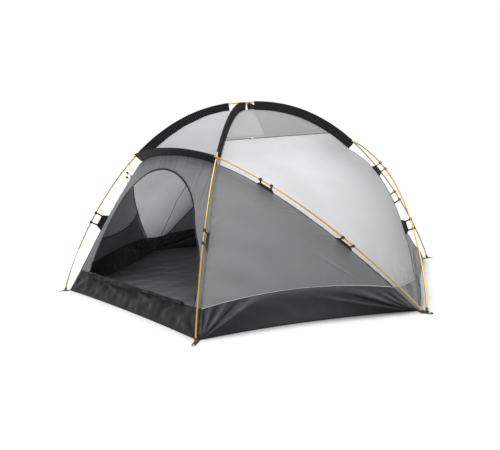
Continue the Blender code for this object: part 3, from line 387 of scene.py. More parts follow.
@dataclass(frozen=True)
class SeamNet:
    """Seams of the skin under the poles, in the +X -Y quarter, at any fineness."""

    poles: PoleFrame = field(default_factory=PoleFrame)
    cloth: float = 0.0015
    apex_drop: float = 0.058
    cross_drop: float = 0.062
    leg_drop: float = 0.042
    limb_drop: float = 0.010
    corner_in: float = 0.036
    side_in: float = 0.045
    tub_mark: float = 0.17
    tub_share: float = 0.2
    vent_share: float = 0.25
    side_rise: float = 0.045
    sill_drop: float = 0.018
    edge_bow_side: float = 0.058
    edge_bow_end: float = 0.020
    wall_bow: float = 0.035
    gusset_drop: float = 0.012
    vent_zip: float = 0.008
    gather_depth: float = 0.006
    gathers: int = 5

    @cached_property
    def apex(self) -> Array:
        """Top of the skin."""
        return np.array((0.0, 0.0, self.poles.height - self.apex_drop))

    @cached_property
    def knot(self) -> Array:
        """Where four seams meet under a crossing.

        Returns:
            Point at the seams' drop under both poles.
        """
        p = self.poles
        down = p.inward(p.diagonal, np.array(p.cross_r), p.diagonal_normal)
        down = down + p.inward(p.arch, np.array(p.cross[0]), p.arch_normal)
        return p.cross + down / 2 * self.cross_drop

    @cached_property
    def corner(self) -> Array:
        """Corner of the floor by a diagonal foot."""
        share = (self.poles.foot_r - self.corner_in) / self.poles.foot_r
        return np.array((self.poles.foot_x * share, -self.poles.foot_y * share, self.cloth))

    @cached_property
    def side(self) -> Array:
        """Corner of the floor by the arch feet."""
        return np.array((self.poles.side_x - self.side_in, 0.0, self.cloth))

    def reaches(self, curve: Curve, foot: float, cross: float, s: Array) -> Array:
        """Parameters down a pole; the tub's seam comes at the same share on every pole.

        Args:
            curve: The pole's curve.
            foot: Its parameter at the foot.
            cross: Its parameter at the crossing.
            s: Shares from the foot to the crossing.

        Returns:
            One parameter for each share.
        """
        mark = self.poles.mark(curve, cross, foot, self.tub_mark)
        low = by_length(curve, foot, mark, np.clip(s / self.tub_share, 0, 1))
        high = by_length(curve, mark, cross, np.clip((s - self.tub_share) / (1 - self.tub_share), 0, 1))
        return np.where(s < self.tub_share, low, high)

    def hung(
        self,
        curve: Curve,
        reach: Curve,
        normal: Array,
        drops: tuple[float, float, float],
        ends: tuple[Array, Array],
        s: Array,
    ) -> Array:
        """Seam that hangs under a stretch of pole, slid so that its ends land on two points.

        Args:
            curve: The pole's curve.
            reach: The curve's parameters by share of the seam.
            normal: Direction square to the pole's plane.
            drops: Drop at the first and at the last end, and how much lower the middle hangs.
            ends: First and last point.
            s: Shares along the seam.

        Returns:
            One point for each share.
        """
        first, last, sag = drops
        t = np.concatenate(((0.0,), s, (1.0,)))
        drop = first + (last - first) * t + 4 * sag * t * (1 - t)
        values = reach(t)
        line = curve(values) + self.poles.inward(curve, values, normal) * drop[:, None]
        start, end = ends[0] - line[0], ends[1] - line[-1]
        return line[1:-1] + start * ((1 - s) ** 3)[:, None] + end * (s**3)[:, None]

    def leg_reach(self, s: Array) -> Array:
        """Reaches along a leg, foot to crossing."""
        return self.reaches(self.poles.diagonal, self.poles.foot_r, self.poles.cross_r, s)

    def limb_reach(self, s: Array) -> Array:
        """Reaches along a limb of an arch, foot to crossing."""
        return self.reaches(self.poles.arch, self.poles.side_x, float(self.poles.cross[0]), s)

    def leg(self, s: Array) -> Array:
        """Seam along a leg, floor to crossing."""
        p, drops = self.poles, (self.corner_in, self.cross_drop, self.leg_drop)
        return self.hung(p.diagonal, self.leg_reach, p.diagonal_normal, drops, (self.corner, self.knot), s)

    def limb(self, s: Array) -> Array:
        """Seam along a limb of an arch, floor to crossing."""
        p, drops = self.poles, (self.side_in, self.cross_drop, self.limb_drop)
        return self.hung(p.arch, self.limb_reach, p.arch_normal, drops, (self.side, self.knot), s)

    def roof_reach(self, s: Array) -> Array:
        """Reaches along a diagonal pole, crossing to top."""
        return by_length(self.poles.diagonal, self.poles.cross_r, 0.0, s)

    def roof(self, s: Array) -> Array:
        """Seam over the roof, crossing to top."""
        p, drops = self.poles, (self.cross_drop, self.apex_drop, 0.0)
        return self.hung(p.diagonal, self.roof_reach, p.diagonal_normal, drops, (self.knot, self.apex), s)

    def top_reach(self, s: Array) -> Array:
        """Reaches along the top of an arch pole, left to right."""
        across = float(self.poles.cross[0])
        return by_length(self.poles.arch, -across, across, s)

    def top(self, s: Array) -> Array:
        """Seam under the top of an arch, left to right."""
        p, drops = self.poles, (self.cross_drop, self.cross_drop, self.apex_drop - self.cross_drop)
        return self.hung(
            p.arch, self.top_reach, p.arch_normal, drops, (self.knot * (-1, 1, 1), self.knot), s
        )

    def low(self, s: Array) -> Array:
        """Shares of the part of a leg or limb inside the tub."""
        return s * self.tub_share

    def high(self, s: Array) -> Array:
        """Shares of the part of a leg or limb over the tub."""
        return self.tub_share + s * (1 - self.tub_share)

    @cached_property
    def leg_seat(self) -> Array:
        """Where the tub's seam meets a leg seam."""
        return self.leg(np.array((self.tub_share,)))[0]

    @cached_property
    def limb_seat(self) -> Array:
        """Where the tub's seam meets a limb seam."""
        return self.limb(np.array((self.tub_share,)))[0]

    def side_sill(self, s: Array) -> Array:
        """Tub seam along a side, leg to limb."""
        return bowed(self.leg_seat, self.limb_seat, s, self.wall_bow, self.side_rise)

    def side_edge(self, s: Array) -> Array:
        """Floor edge along a side, leg to limb."""
        return bowed(self.corner, self.side, s, self.edge_bow_side, 0.0)

    def end_sill(self, s: Array) -> Array:
        """Tub seam under a door, left to right."""
        return bowed(self.leg_seat * (-1, 1, 1), self.leg_seat, s, self.edge_bow_end, -self.sill_drop)

    def end_edge(self, s: Array) -> Array:
        """Floor edge under a door, left to right."""
        return bowed(self.corner * (-1, 1, 1), self.corner, s, self.edge_bow_end, 0.0)

    def gusset_top(self, s: Array) -> Array:
        """Tub seam at a side corner, front to back."""
        return bowed(self.limb_seat, self.limb_seat * (1, -1, 1), s, 0.0, -self.gusset_drop)

    def vent_sill(self, s: Array) -> Array:
        """Seam under a vent, front to back."""
        start = self.roof(np.array((self.vent_share,)))[0]
        return bowed(start, start * (1, -1, 1), s, 0.0, 0.0)

    def end_wall(self, rows: int, columns: int) -> Array:
        """Door wall with the soft folds over its door.

        Args:
            rows: Steps up.
            columns: Steps across.

        Returns:
            Rows of points from the bottom up.
        """
        u, v = even(columns), even(rows)
        right = self.leg(self.high(v))
        grid = coons(self.end_sill(u), self.top(u), right * (-1, 1, 1), right)
        share = (4 * u * (1 - u))[None]
        fold = np.sin(u * math.pi * self.gathers)[None] * share * ((v**2 * (1 - v)) * 4)[:, None]
        grid[:, :, 1] += self.gather_depth * fold
        return grid

    def roof_panel(self, rows: int, columns: int) -> Array:
        """Roof triangle over a door.

        Args:
            rows: Steps up.
            columns: Steps across.

        Returns:
            Rows of points from the bottom up.
        """
        u, v = even(columns), even(rows)
        right = self.roof(v)
        return coons(self.top(u), np.tile(self.apex, (columns + 1, 1)), right * (-1, 1, 1), right)

    def lower_panel(self, rows: int, columns: int) -> Array:
        """Grey triangle between a leg and a limb.

        Args:
            rows: Steps up.
            columns: Steps across.

        Returns:
            Rows of points from the bottom up.
        """
        u, v = even(columns), even(rows)
        peak = np.tile(self.knot, (columns + 1, 1))
        return coons(self.side_sill(u), peak, self.leg(self.high(v)), self.limb(self.high(v)))

    def side_kite(self, rows: int, columns: int) -> Array:
        """Pale kite from a side corner up to the seam of its vent.

        Args:
            rows: Steps up.
            columns: Steps across.

        Returns:
            Rows of points from the bottom up.
        """
        u, v = even(columns), even(rows)
        split = 0.8
        limb = self.limb(self.high(np.clip(v / split, 0, 1)))
        roof = self.roof(np.clip((v - split) / (1 - split), 0, 1) * self.vent_share)
        front = np.where((v <= split)[:, None], limb, roof)
        grid = coons(self.gusset_top(u), self.vent_sill(u), front, front * (1, -1, 1))
        return self.relaxed(grid, u, v)

    @staticmethod
    def relaxed(grid: Array, u: Array, v: Array, spread: float = 0.07) -> Array:
        """Smooth a grid up its columns, less and less towards its edges.

        Args:
            grid: Rows of points.
            u: Shares across.
            v: Shares up.
            spread: Share of the height over which points are averaged.

        Returns:
            The smoothed rows.
        """
        weights = np.exp(-(((v[:, None] - v[None]) / spread) ** 2))
        line = v[:, None, None]
        straight = grid[:1] * (1 - line) + grid[-1:] * line
        soft = np.tensordot(weights / weights.sum(axis=1, keepdims=True), grid - straight, axes=1) + straight
        hold = np.clip(np.minimum(u, 1 - u)[None] / 0.10, 0, 1)
        hold = hold * np.clip(np.minimum(v, 1 - v)[:, None] / 0.08, 0, 1)
        hold = (hold * hold * (3 - 2 * hold))[..., None]
        return grid * (1 - hold) + soft * hold

    def vent(self, rows: int, columns: int) -> Array:
        """Net triangle over a side kite.

        Args:
            rows: Steps up.
            columns: Steps across.

        Returns:
            Rows of points from the bottom up.
        """
        u, v = even(columns), even(rows)
        front = self.roof(self.vent_share + v * (1 - self.vent_share))
        peak = np.tile(self.apex, (columns + 1, 1))
        return coons(self.vent_sill(u), peak, front, front * (1, -1, 1))


NET = SeamNet()
# Towards the back the sides of the tub are drawn in less
BACK_NET = SeamNet(edge_bow_side=0.008, wall_bow=0.012)
POLES = NET.poles


def net_of(sy: int) -> SeamNet:
    """Net of the front half, or of the back half."""
    return NET if sy < 0 else BACK_NET


def linear(hex_colour: str) -> tuple[float, float, float, float]:
    """Turn an sRGB hex colour into the linear colour that shaders take.

    Args:
        hex_colour: Colour such as "#C0C0C2".

    Returns:
        Linear red, green and blue, and an alpha of one.
    """
    parts = [int(hex_colour[i : i + 2], 16) / 255 for i in (1, 3, 5)]
    red, green, blue = (c / 12.92 if c <= 0.04045 else ((c + 0.055) / 1.055) ** 2.4 for c in parts)
    return (red, green, blue, 1.0)


def add_node(
    tree: bpy.types.NodeTree,
    kind: str,
    settings: dict[str, object] | None = None,
    inputs: dict[str | int, object] | None = None,
) -> bpy.types.Node:
    """Add a node with its settings, input values and links.

    Args:
        tree: Node tree that gets the node.
        kind: Blender's name of the node's type.
        settings: Properties of the node.
        inputs: Values by socket; an output socket is linked.

    Returns:
        The new node.
    """
    node = tree.nodes.new(kind)
    for key, value in (settings or {}).items():
        setattr(node, key, value)
    for key, value in (inputs or {}).items():
        if isinstance(value, bpy.types.NodeSocket):
            tree.links.new(value, node.inputs[key])
        else:
            node.inputs[key].default_value = value
    return node


def new_material(name: str) -> tuple[bpy.types.Material, bpy.types.NodeTree, bpy.types.Node]:
    """Make an empty material.

    Args:
        name: Name of the material.

    Returns:
        The material, its tree and its output node.
    """
    material = bpy.data.materials.new(name)
    material.use_nodes = True
    tree = material.node_tree
    tree.nodes.clear()
    return material, tree, tree.nodes.new("ShaderNodeOutputMaterial")


class Weave(enum.Enum):
    """How a cloth is woven, which sets the pattern that shows."""

    RIPSTOP = enum.auto()
    PLAIN = enum.auto()
    TAPE = enum.auto()


@dataclass(frozen=True)
class ClothFinish:
    """Woven cloth: a diffuse, slightly silky sheet that lets some light through."""

    name: str
    colour: str
    weave: Weave = Weave.PLAIN
    grid_mm: float = 12.0
    slant: float = 0.0
    line: float = 0.08
    roughness: float = 0.6
    sheen: float = 0.15
    specular: float = 0.5
    through: float = 0.0
    crumple: float = 0.15
    crumple_mm: float = 60.0
    mottle: float = 0.05
    # Second colour, mixed in for painted highlights and painted shade
    painted_light_colour: str = ""

    def make(self) -> bpy.types.Material:
        """Build the material.

        Returns:
            The finished material.
        """
        material, tree, output = new_material(self.name)
        place = add_node(tree, "ShaderNodeUVMap", {"uv_map": "cloth"}).outputs[0]
        turn = {"Vector": place, "Rotation": (0, 0, self.slant)}
        turned = add_node(tree, "ShaderNodeMapping", None, turn).outputs[0]
        base = linear(self.colour)
        dark, light = (
            tuple(min(1.0, c * (1 + way * self.mottle)) for c in base[:3]) + (1.0,) for way in (-1, 1)
        )
        cloud = add_node(tree, "ShaderNodeTexNoise", None, {"Vector": place, "Scale": 7.0, "Detail": 3.0})
        mixed = {"Factor": cloud.outputs["Fac"], "A": dark, "B": light}
        colour = add_node(tree, "ShaderNodeMix", {"data_type": "RGBA"}, mixed).outputs["Result"]
        creases = {"Vector": place, "Scale": 1000 / self.crumple_mm, "Detail": 4.0}
        height = add_node(tree, "ShaderNodeTexNoise", None, creases).outputs["Fac"]
        if self.weave is Weave.RIPSTOP:
            # Thicker yarns in both directions, drawn coarser than the real 5 mm so that they show
            grid = {"Vector": turned, "Scale": 1000 / self.grid_mm, "Brick Width": 1.0, "Row Height": 1.0}
            yarn = {"Mortar Size": 0.06, "Mortar Smooth": 0.4}
            yarns = add_node(tree, "ShaderNodeTexBrick", {"offset": 0.0}, grid | yarn)
            lined = tuple(min(1.0, c + self.line * (0.25 + c)) for c in base[:3]) + (1.0,)
            mixed = {"Factor": yarns.outputs["Fac"], "A": colour, "B": lined}
            colour = add_node(tree, "ShaderNodeMix", {"data_type": "RGBA"}, mixed).outputs["Result"]
        if self.painted_light_colour:
            # Painted highlights and painted shade: each point's attribute mixes in the second colour
            painted_mask = add_node(tree, "ShaderNodeAttribute", {"attribute_name": "painted_light"})
            mixed = {"Factor": painted_mask.outputs["Fac"], "A": colour, "B": linear(self.painted_light_colour)}
            colour = add_node(tree, "ShaderNodeMix", {"data_type": "RGBA"}, mixed).outputs["Result"]
        if self.weave is Weave.TAPE:
            # Ribs of woven tape run across it
            wave = {"Vector": turned, "Scale": 1000 / self.grid_mm / 20, "Distortion": 0.4}
            height = add_node(tree, "ShaderNodeTexWave", {"bands_direction": "Y"}, wave).outputs["Fac"]
        depth = {"Strength": self.crumple, "Distance": 0.004, "Height": height}
        relief = add_node(tree, "ShaderNodeBump", None, depth).outputs[0]
        look = {
            "Base Color": colour,
            "Roughness": self.roughness,
            "Sheen Weight": self.sheen,
            "Specular IOR Level": self.specular,
            "Normal": relief,
        }
        shader = add_node(tree, "ShaderNodeBsdfPrincipled", None, look).outputs[0]
        if self.through:
            glow = add_node(tree, "ShaderNodeBsdfTranslucent", None, {"Color": colour, "Normal": relief})
            both = {0: self.through, 1: shader, 2: glow.outputs[0]}
            shader = add_node(tree, "ShaderNodeMixShader", None, both).outputs[0]
        tree.links.new(shader, output.inputs["Surface"])
        return material


@dataclass(frozen=True)
class NetFinish:
    """Knitted insect net: fine thread with holes, so what lies behind shows through."""

    name: str
    colour: str
    open_share: float = 0.5
    mesh_mm: float = 7.0

    def make(self) -> bpy.types.Material:
        """Build the material.

        Returns:
            The finished material.
        """
        material, tree, output = new_material(self.name)
        place = add_node(tree, "ShaderNodeUVMap", {"uv_map": "cloth"}).outputs[0]
        # Real holes are about 1 mm; they are drawn coarser so that they show
        kind = {"feature": "DISTANCE_TO_EDGE", "voronoi_dimensions": "2D"}
        mesh = {"Vector": place, "Scale": 1000 / self.mesh_mm, "Randomness": 0.25}
        cells = add_node(tree, "ShaderNodeTexVoronoi", kind, mesh)
        edge = {"Value": cells.outputs["Distance"], "From Min": 0.1, "From Max": 0.35}
        share = {"To Min": 1 - self.open_share * 0.7, "To Max": 1 - self.open_share * 1.3}
        cover = add_node(tree, "ShaderNodeMapRange", None, edge | share)
        look = {"Base Color": linear(self.colour), "Roughness": 0.8, "Alpha": cover.outputs[0]}
        thread = add_node(tree, "ShaderNodeBsdfPrincipled", None, look)
        tree.links.new(thread.outputs[0], output.inputs["Surface"])
        return material


@dataclass(frozen=True)
class TubeFinish:
    """Anodised aluminium tube: a coloured metal with fine draw marks along it."""

    name: str
    colour: str
    deep: str
    roughness: float = 0.32
    metallic: float = 1.0

    def make(self) -> bpy.types.Material:
        """Build the material.

        Returns:
            The finished material.
        """
        material, tree, output = new_material(self.name)
        place = add_node(tree, "ShaderNodeUVMap", {"uv_map": "cloth"}).outputs[0]
        # Noise stretched along the tube makes its draw marks
        drawn = add_node(tree, "ShaderNodeMapping", None, {"Vector": place, "Scale": (1400.0, 6.0, 1.0)})
        marks = {"Vector": drawn.outputs[0], "Scale": 1.0, "Detail": 2.0}
        grain = add_node(tree, "ShaderNodeTexNoise", None, marks).outputs["Fac"]
        mixed = {"Factor": grain, "A": linear(self.deep), "B": linear(self.colour)}
        colour = add_node(tree, "ShaderNodeMix", {"data_type": "RGBA"}, mixed).outputs["Result"]
        limits = {"Value": grain, "To Min": self.roughness * 0.8, "To Max": self.roughness * 1.2}
        rough = add_node(tree, "ShaderNodeMapRange", None, limits).outputs[0]
        look = {"Base Color": colour, "Metallic": self.metallic, "Roughness": rough}
        shader = add_node(tree, "ShaderNodeBsdfPrincipled", None, look)
        tree.links.new(shader.outputs[0], output.inputs["Surface"])
        return material


@dataclass(frozen=True)
class MouldedFinish:
    """Injection moulded plastic: an even colour with a faint spark-eroded grain."""

    name: str
    colour: str
    roughness: float = 0.42
    grain_mm: float = 0.8

    def make(self) -> bpy.types.Material:
        """Build the material.

        Returns:
            The finished material.
        """
        material, tree, output = new_material(self.name)
        place = add_node(tree, "ShaderNodeTexCoord").outputs["Object"]
        pits = {"Vector": place, "Scale": 1000 / self.grain_mm, "Detail": 2.0}
        grain = add_node(tree, "ShaderNodeTexNoise", None, pits).outputs["Fac"]
        depth = {"Strength": 0.15, "Distance": 0.0002, "Height": grain}
        relief = add_node(tree, "ShaderNodeBump", None, depth).outputs[0]
        look = {"Base Color": linear(self.colour), "Roughness": self.roughness, "IOR": 1.53, "Normal": relief}
        shader = add_node(tree, "ShaderNodeBsdfPrincipled", None, look)
        tree.links.new(shader.outputs[0], output.inputs["Surface"])
        return material


FINISHES = (
    # Uncoated pale polyester: bright where light comes through it; its second colour is painted shade
    ClothFinish(
        "pale_ripstop_polyester", "#F6F6F7", Weave.RIPSTOP, through=0.45, line=0.05, sheen=0.1, painted_light_colour="#8A8A8C"
    ),
    # Denser polyester of the roof: an even light grey that lets little light through
    ClothFinish("roof_ripstop_polyester", "#BABABC", Weave.RIPSTOP, through=0.08, line=0.04, sheen=0.1),
    # Dyed polyester taffeta: matt, slightly see-through to daylight; its second colour is painted shade
    ClothFinish("grey_polyester_taffeta", "#A6A6A8", through=0.40, crumple=0.2, sheen=0.1, painted_light_colour="#5E5E60"),
    # Polyurethane coating on the groundsheet gives a soft gloss; its second colour is a painted sheen
    ClothFinish(
        "coated_floor_taffeta", "#18181A", roughness=0.45, specular=0.09, sheen=0.16, crumple=0.5,
        crumple_mm=45, mottle=0.12, painted_light_colour="#96969A",
    ),
    # Sleeves: dull black with a slanting grid of thicker yarns that catches the light
    ClothFinish(
        "black_sleeve_ripstop", "#202022", Weave.RIPSTOP, grid_mm=14, slant=0.8, line=0.3, roughness=0.8,
        sheen=0.0, specular=0.06,
    ),
    # Flat binding tape, dull black; the piping on the tub's seam is a thin pale line
    ClothFinish("black_seam_tape", "#111113", roughness=0.75, specular=0.25),
    ClothFinish("grey_seam_piping", "#D2D2D4", roughness=0.6),
    # Woven webbing and zip tape: dull black with ribs across
    ClothFinish(
        "black_webbing", "#141416", Weave.TAPE, grid_mm=2.5, crumple=0.6, roughness=0.85, specular=0.25
    ),
    ClothFinish(
        "black_zip_tape", "#101012", Weave.TAPE, grid_mm=2.0, crumple=0.3, roughness=0.8, specular=0.25
    ),
    # Thin pocket cloth shows darker than the bright wall behind it; the bunched flap lets no light through
    ClothFinish("dark_pocket_cloth", "#AEAEB0", through=0.5, roughness=0.7, sheen=0.0),
    ClothFinish("dark_flap_cloth", "#2E2E30", roughness=0.8, sheen=0.0),
    # Knitted net: a grey veil over what lies behind
    NetFinish("grey_insect_net", "#C6C6C6", 0.64),
    # Anodised aluminium: warm metal with soft streaks; the eyelets are left plain
    TubeFinish("gold_anodised_tube", "#D6B26C", "#B5893F"),
    TubeFinish("plain_aluminium_pin", "#BFC0C2", "#A9AAAD", roughness=0.4),
    # Moulded nylon: even black with a soft gloss
    MouldedFinish("black_moulded_nylon", "#121214"),
    # Twisted thread: dull, its own twist is too fine to see
    MouldedFinish("polyester_thread", "#39393B", roughness=0.8),
    # Softer plastics of the sockets, brownish and dull, and of the toggles, white and smooth
    MouldedFinish("grey_moulded_boot", "#4C463F", roughness=0.6),
    MouldedFinish("white_moulded_toggle", "#F2F2F2", roughness=0.35),
)


class Finishes:
    """Materials of the tent by name, each made once."""

    def __init__(self, finishes: Sequence[ClothFinish | NetFinish | TubeFinish | MouldedFinish]) -> None:
        """Make every material."""
        self.made = {finish.name: finish.make() for finish in finishes}

    def dress(self, item: Object, name: str) -> None:
        """Give a piece one finish.

        Args:
            item: The piece.
            name: Name of the finish.
        """
        item.data.materials.clear()
        item.data.materials.append(self.made[name])


FINISH = Finishes(FINISHES)


def add_object(name: str, data: bpy.types.ID) -> Object:
    """Add an object to the scene.

    Args:
        name: Name of the object.
        data: Its mesh, light or camera.

    Returns:
        The new object.
    """
    item = bpy.data.objects.new(name, data)
    bpy.context.scene.collection.objects.link(item)
    return item


def push_out(bm: bmesh.types.BMesh, shift: Vector, sharp: float, bevel: float) -> None:
    """Give flat faces a thickness and break their sharp edges.

    Args:
        bm: Mesh of flat faces.
        shift: Thickness and its direction.
        sharp: Least angle of the edges that are broken.
        bevel: Width of the bevel.
    """
    pushed = bmesh.ops.extrude_face_region(bm, geom=list(bm.faces))
    far = [v for v in pushed["geom"] if isinstance(v, bmesh.types.BMVert)]
    bmesh.ops.translate(bm, vec=shift, verts=far)
    bmesh.ops.recalc_face_normals(bm, faces=bm.faces)
    edges = [e for e in bm.edges if e.is_manifold and e.calc_face_angle() > sharp]
    bmesh.ops.bevel(bm, geom=edges, offset=bevel, segments=2, affect="EDGES", clamp_overlap=True)


def build_object(
    name: str, points: Array, faces: Sequence[Sequence[int]], flat: Array, painted_light: Array | None = None
) -> Object:
    """Make a mesh object with flat coordinates in metres as its UV map.

    Args:
        name: Name of the piece.
        points: Vertices.
        faces: Vertex numbers of each face.
        flat: Two coordinates a vertex.
        painted_light: How far each vertex takes on the cloth's second colour, for painted highlights and
            painted shade, from 0 to 1.

    Returns:
        The new object.
    """
    mesh = bpy.data.meshes.new(name)
    mesh.from_pydata(points.tolist(), [], [tuple(f) for f in faces])
    if painted_light is not None:
        # Each point's share of painted highlight and painted shade
        painted_mask = mesh.attributes.new("painted_light", "FLOAT", "POINT")
        painted_mask.data.foreach_set("value", np.clip(painted_light, 0, 1).astype(np.float32))
    corners = np.empty(len(mesh.loops), np.int64)
    mesh.loops.foreach_get("vertex_index", corners)
    layer = mesh.uv_layers.new(name="cloth")
    layer.data.foreach_set("uv", flat[corners].astype(np.float32).ravel())
    mesh.shade_smooth()
    return add_object(name, mesh)


def weld(item: Object, outwards: bool) -> None:
    """Join points that meet, drop faces without area and turn all faces the same way.

    Args:
        item: Piece to clean.
        outwards: True where all faces look away from the tent's inside; otherwise the piece is
            closed and its own outside counts.
    """
    bm = bmesh.new()
    bm.from_mesh(item.data)
    bmesh.ops.remove_doubles(bm, verts=bm.verts, dist=0.00002)
    bmesh.ops.delete(bm, geom=[f for f in bm.faces if f.calc_area() < 1e-10], context="FACES_ONLY")
    bmesh.ops.recalc_face_normals(bm, faces=bm.faces)
    if outwards:
        middle = Vector(INSIDE)
        facing = sum(f.normal.dot(f.calc_center_median() - middle) * f.calc_area() for f in bm.faces)
        if facing < 0:
            bmesh.ops.reverse_faces(bm, faces=bm.faces)
    bm.to_mesh(item.data)
    bm.free()


def thicken(item: Object, thickness: float, offset: float) -> None:
    """Give an open sheet its thickness.

    Args:
        item: The sheet.
        thickness: Its thickness.
        offset: 1 to thicken it outwards, -1 inwards, 0 both ways.
    """
    modifier = item.modifiers.new("thickness", "SOLIDIFY")
    modifier.thickness = thickness
    modifier.offset = offset


def grid_faces(rows: int, columns: int, start: int = 0) -> list[tuple[int, int, int, int]]:
    """Faces of a grid of points.

    Args:
        rows: Rows of points.
        columns: Points in each row.
        start: Number of the first point.

    Returns:
        Four point numbers a face.
    """
    faces = []
    for j in range(rows - 1):
        for i in range(columns - 1):
            a = start + j * columns + i
            faces.append((a, a + 1, a + columns + 1, a + columns))
    return faces


@dataclass
class Cloth:
    """Grid of points on the skin, with distances over it and a relief to be added."""

    rows: Array

    def __post_init__(self) -> None:
        """Measure the grid."""
        self.along = lengths_along(self.rows)
        self.across = np.swapaxes(lengths_along(np.swapaxes(self.rows, 0, 1)), 0, 1)
        self.from_left = self.across
        self.from_right = self.across[:, -1:] - self.across
        self.from_bottom = self.along
        self.from_top = self.along[-1:] - self.along
        middle = self.rows.shape[1] // 2
        aside = self.across - self.across[:, middle : middle + 1]
        height = np.broadcast_to(self.along[:, middle : middle + 1], self.across.shape)
        self.flat = np.stack((aside, height), axis=-1)
        self.relief = np.zeros(self.across.shape)
        # Share of the second colour at each point: painted highlights and painted shade
        self.painted_light = np.zeros(self.across.shape)
        self.u = np.broadcast_to(np.linspace(0, 1, self.rows.shape[1])[None], self.across.shape)
        self.v = np.broadcast_to(np.linspace(0, 1, self.rows.shape[0])[:, None], self.across.shape)

    @cached_property
    def normals(self) -> Array:
        """Outward directions at the points.

        Returns:
            One direction for each point; where an edge shrinks to a point, that of the next row.
        """
        square = np.cross(np.gradient(self.rows, axis=1), np.gradient(self.rows, axis=0))
        normals, short = unit(square), np.linalg.norm(square, axis=-1) < 1e-12
        for edge, inner in ((0, 1), (-1, -2)):
            normals[edge] = np.where(short[edge][:, None], normals[inner], normals[edge])
        facing = np.sum(normals * (self.rows - INSIDE))
        return normals if facing > 0 else -normals

    @cached_property
    def fade(self) -> Array:
        """Zero along the four edges and one a few centimetres inside them."""
        nearest = np.minimum(
            np.minimum(self.from_left, self.from_right), np.minimum(self.from_bottom, self.from_top)
        )
        return 1 - np.exp(-nearest / 0.02)

    def slack(self, depth: float, size: float, seed: int) -> None:
        """Add the soft unevenness of cloth that isn't drum tight."""
        x, y = self.flat[..., 0] / size, self.flat[..., 1] / size
        self.relief = self.relief + depth * ruffle(x, y, seed) * self.fade

    def puckers(
        self, distance: Array, along: Array, pitch: float, depth: float, reach: float, lean: float, seed: int
    ) -> None:
        """Add the short ripples that a sewn seam pulls into the cloth beside it.

        Args:
            distance: Distance of each point from the seam.
            along: Place of each point along the seam.
            pitch: Distance between ripples.
            depth: Height of a ripple.
            reach: How far the ripples run from the seam.
            lean: How much they slant away along the seam.
            seed: Seed of their unevenness.
        """
        phase = (along + lean * distance) / pitch + 0.6 * wander(along / (6 * pitch), seed)
        strength = 0.55 + 0.45 * wander(along / (3 * pitch), seed + 1)
        start = 1 - np.exp(-distance / 0.006)
        shape = np.sin(2 * math.pi * phase) * strength * np.exp(-distance / reach) * start
        self.relief = self.relief + depth * shape

    def fold(self, start: Array, end: Array, width: float, depth: float, gloss: float = 0.0) -> None:
        """Add a straight fold between two flat points.

        Args:
            start: Flat point where the fold starts.
            end: Flat point where it fades out.
            width: Half width of the fold.
            depth: Its height, below zero for a hollow.
            gloss: Share of the second colour painted along it, a painted highlight; below zero, painted
                shade.
        """
        along = end - start
        size = float(np.linalg.norm(along))
        away = self.flat - start
        t = (away @ along) / size**2
        aside = np.abs(away[..., 0] * along[1] - away[..., 1] * along[0]) / size
        spread = width * (0.35 + 0.65 * np.clip(t, 0, 1))
        shape = np.exp(-((aside / spread) ** 2)) * np.clip(t * 6, 0, 1) * np.clip((1 - t) * 2.5, 0, 1)
        self.relief = self.relief + depth * shape * self.fade
        self.painted_light = self.painted_light + gloss * shape

    def points(self) -> Array:
        """Points of the grid with their relief."""
        return self.rows + self.normals * self.relief[..., None]

    def at(self, u: float, v: float) -> Array:
        """Flat point at shares of the way across and up.

        Args:
            u: Share across.
            v: Share up.

        Returns:
            The flat point of the nearest grid point.
        """
        j = round(v * (self.rows.shape[0] - 1))
        i = round(u * (self.rows.shape[1] - 1))
        return self.flat[j, i]

    @cached_property
    def area(self) -> float:
        """Area of the sheet without its relief.

        Returns:
            Sum of two triangles for each cell.
        """
        a = np.cross(self.rows[1:, :-1] - self.rows[:-1, :-1], self.rows[:-1, 1:] - self.rows[:-1, :-1])
        b = np.cross(self.rows[1:, :-1] - self.rows[1:, 1:], self.rows[:-1, 1:] - self.rows[1:, 1:])
        return float((np.linalg.norm(a, axis=-1).sum() + np.linalg.norm(b, axis=-1).sum()) / 2)

    def mirrored(self, sx: int, sy: int) -> "Cloth":
        """The same grid in another quarter, with its relief.

        Args:
            sx: Sign of the side.
            sy: Sign of the end.

        Returns:
            The carried grid.
        """
        other = Cloth(to_quarter(self.rows, sx, sy))
        other.relief, other.painted_light = self.relief, self.painted_light
        return other


def cloth_piece(
    name: str, cloths: Sequence[Cloth], thickness: float = 0.0011, raised: float = 0.0002
) -> Object:
    """Make a sheet piece of one or more grids that share edges.

    Args:
        name: Name of the piece.
        cloths: The grids.
        thickness: Thickness of the cloth, outwards.
        raised: How far the sheet lies outside its grid.

    Returns:
        The new object.
    """
    points, flats, painted_lights, faces, start = [], [], [], [], 0
    for cloth in cloths:
        made = cloth.points() + cloth.normals * raised
        points.append(made.reshape(-1, 3))
        flats.append(cloth.flat.reshape(-1, 2))
        painted_lights.append(cloth.painted_light.ravel())
        faces += grid_faces(*made.shape[:2], start)
        start += made.shape[0] * made.shape[1]
    item = build_object(name, np.concatenate(points), faces, np.concatenate(flats), np.concatenate(painted_lights))
    weld(item, outwards=True)
    thicken(item, thickness, offset=1.0)
    return item


def frames_along(path: Array, outward: Array | None) -> tuple[Array, Array]:
    """Two directions square to a path at each of its points.

    Args:
        path: Points of the path.
        outward: Wanted second direction at each point, or None to carry one along.

    Returns:
        Side and outward directions.
    """
    tangents = unit(np.gradient(path, axis=0))
    if outward is None:
        ups = np.empty_like(path)
        ahead = np.cross(tangents[0], UP if abs(tangents[0][2]) < 0.9 else np.array((1.0, 0.0, 0.0)))
        for k, tangent in enumerate(tangents):
            ahead = unit(ahead - tangent * (ahead @ tangent))
            ups[k] = ahead
    else:
        ups = unit(outward - tangents * np.sum(outward * tangents, axis=1, keepdims=True))
    return np.cross(tangents, ups), ups


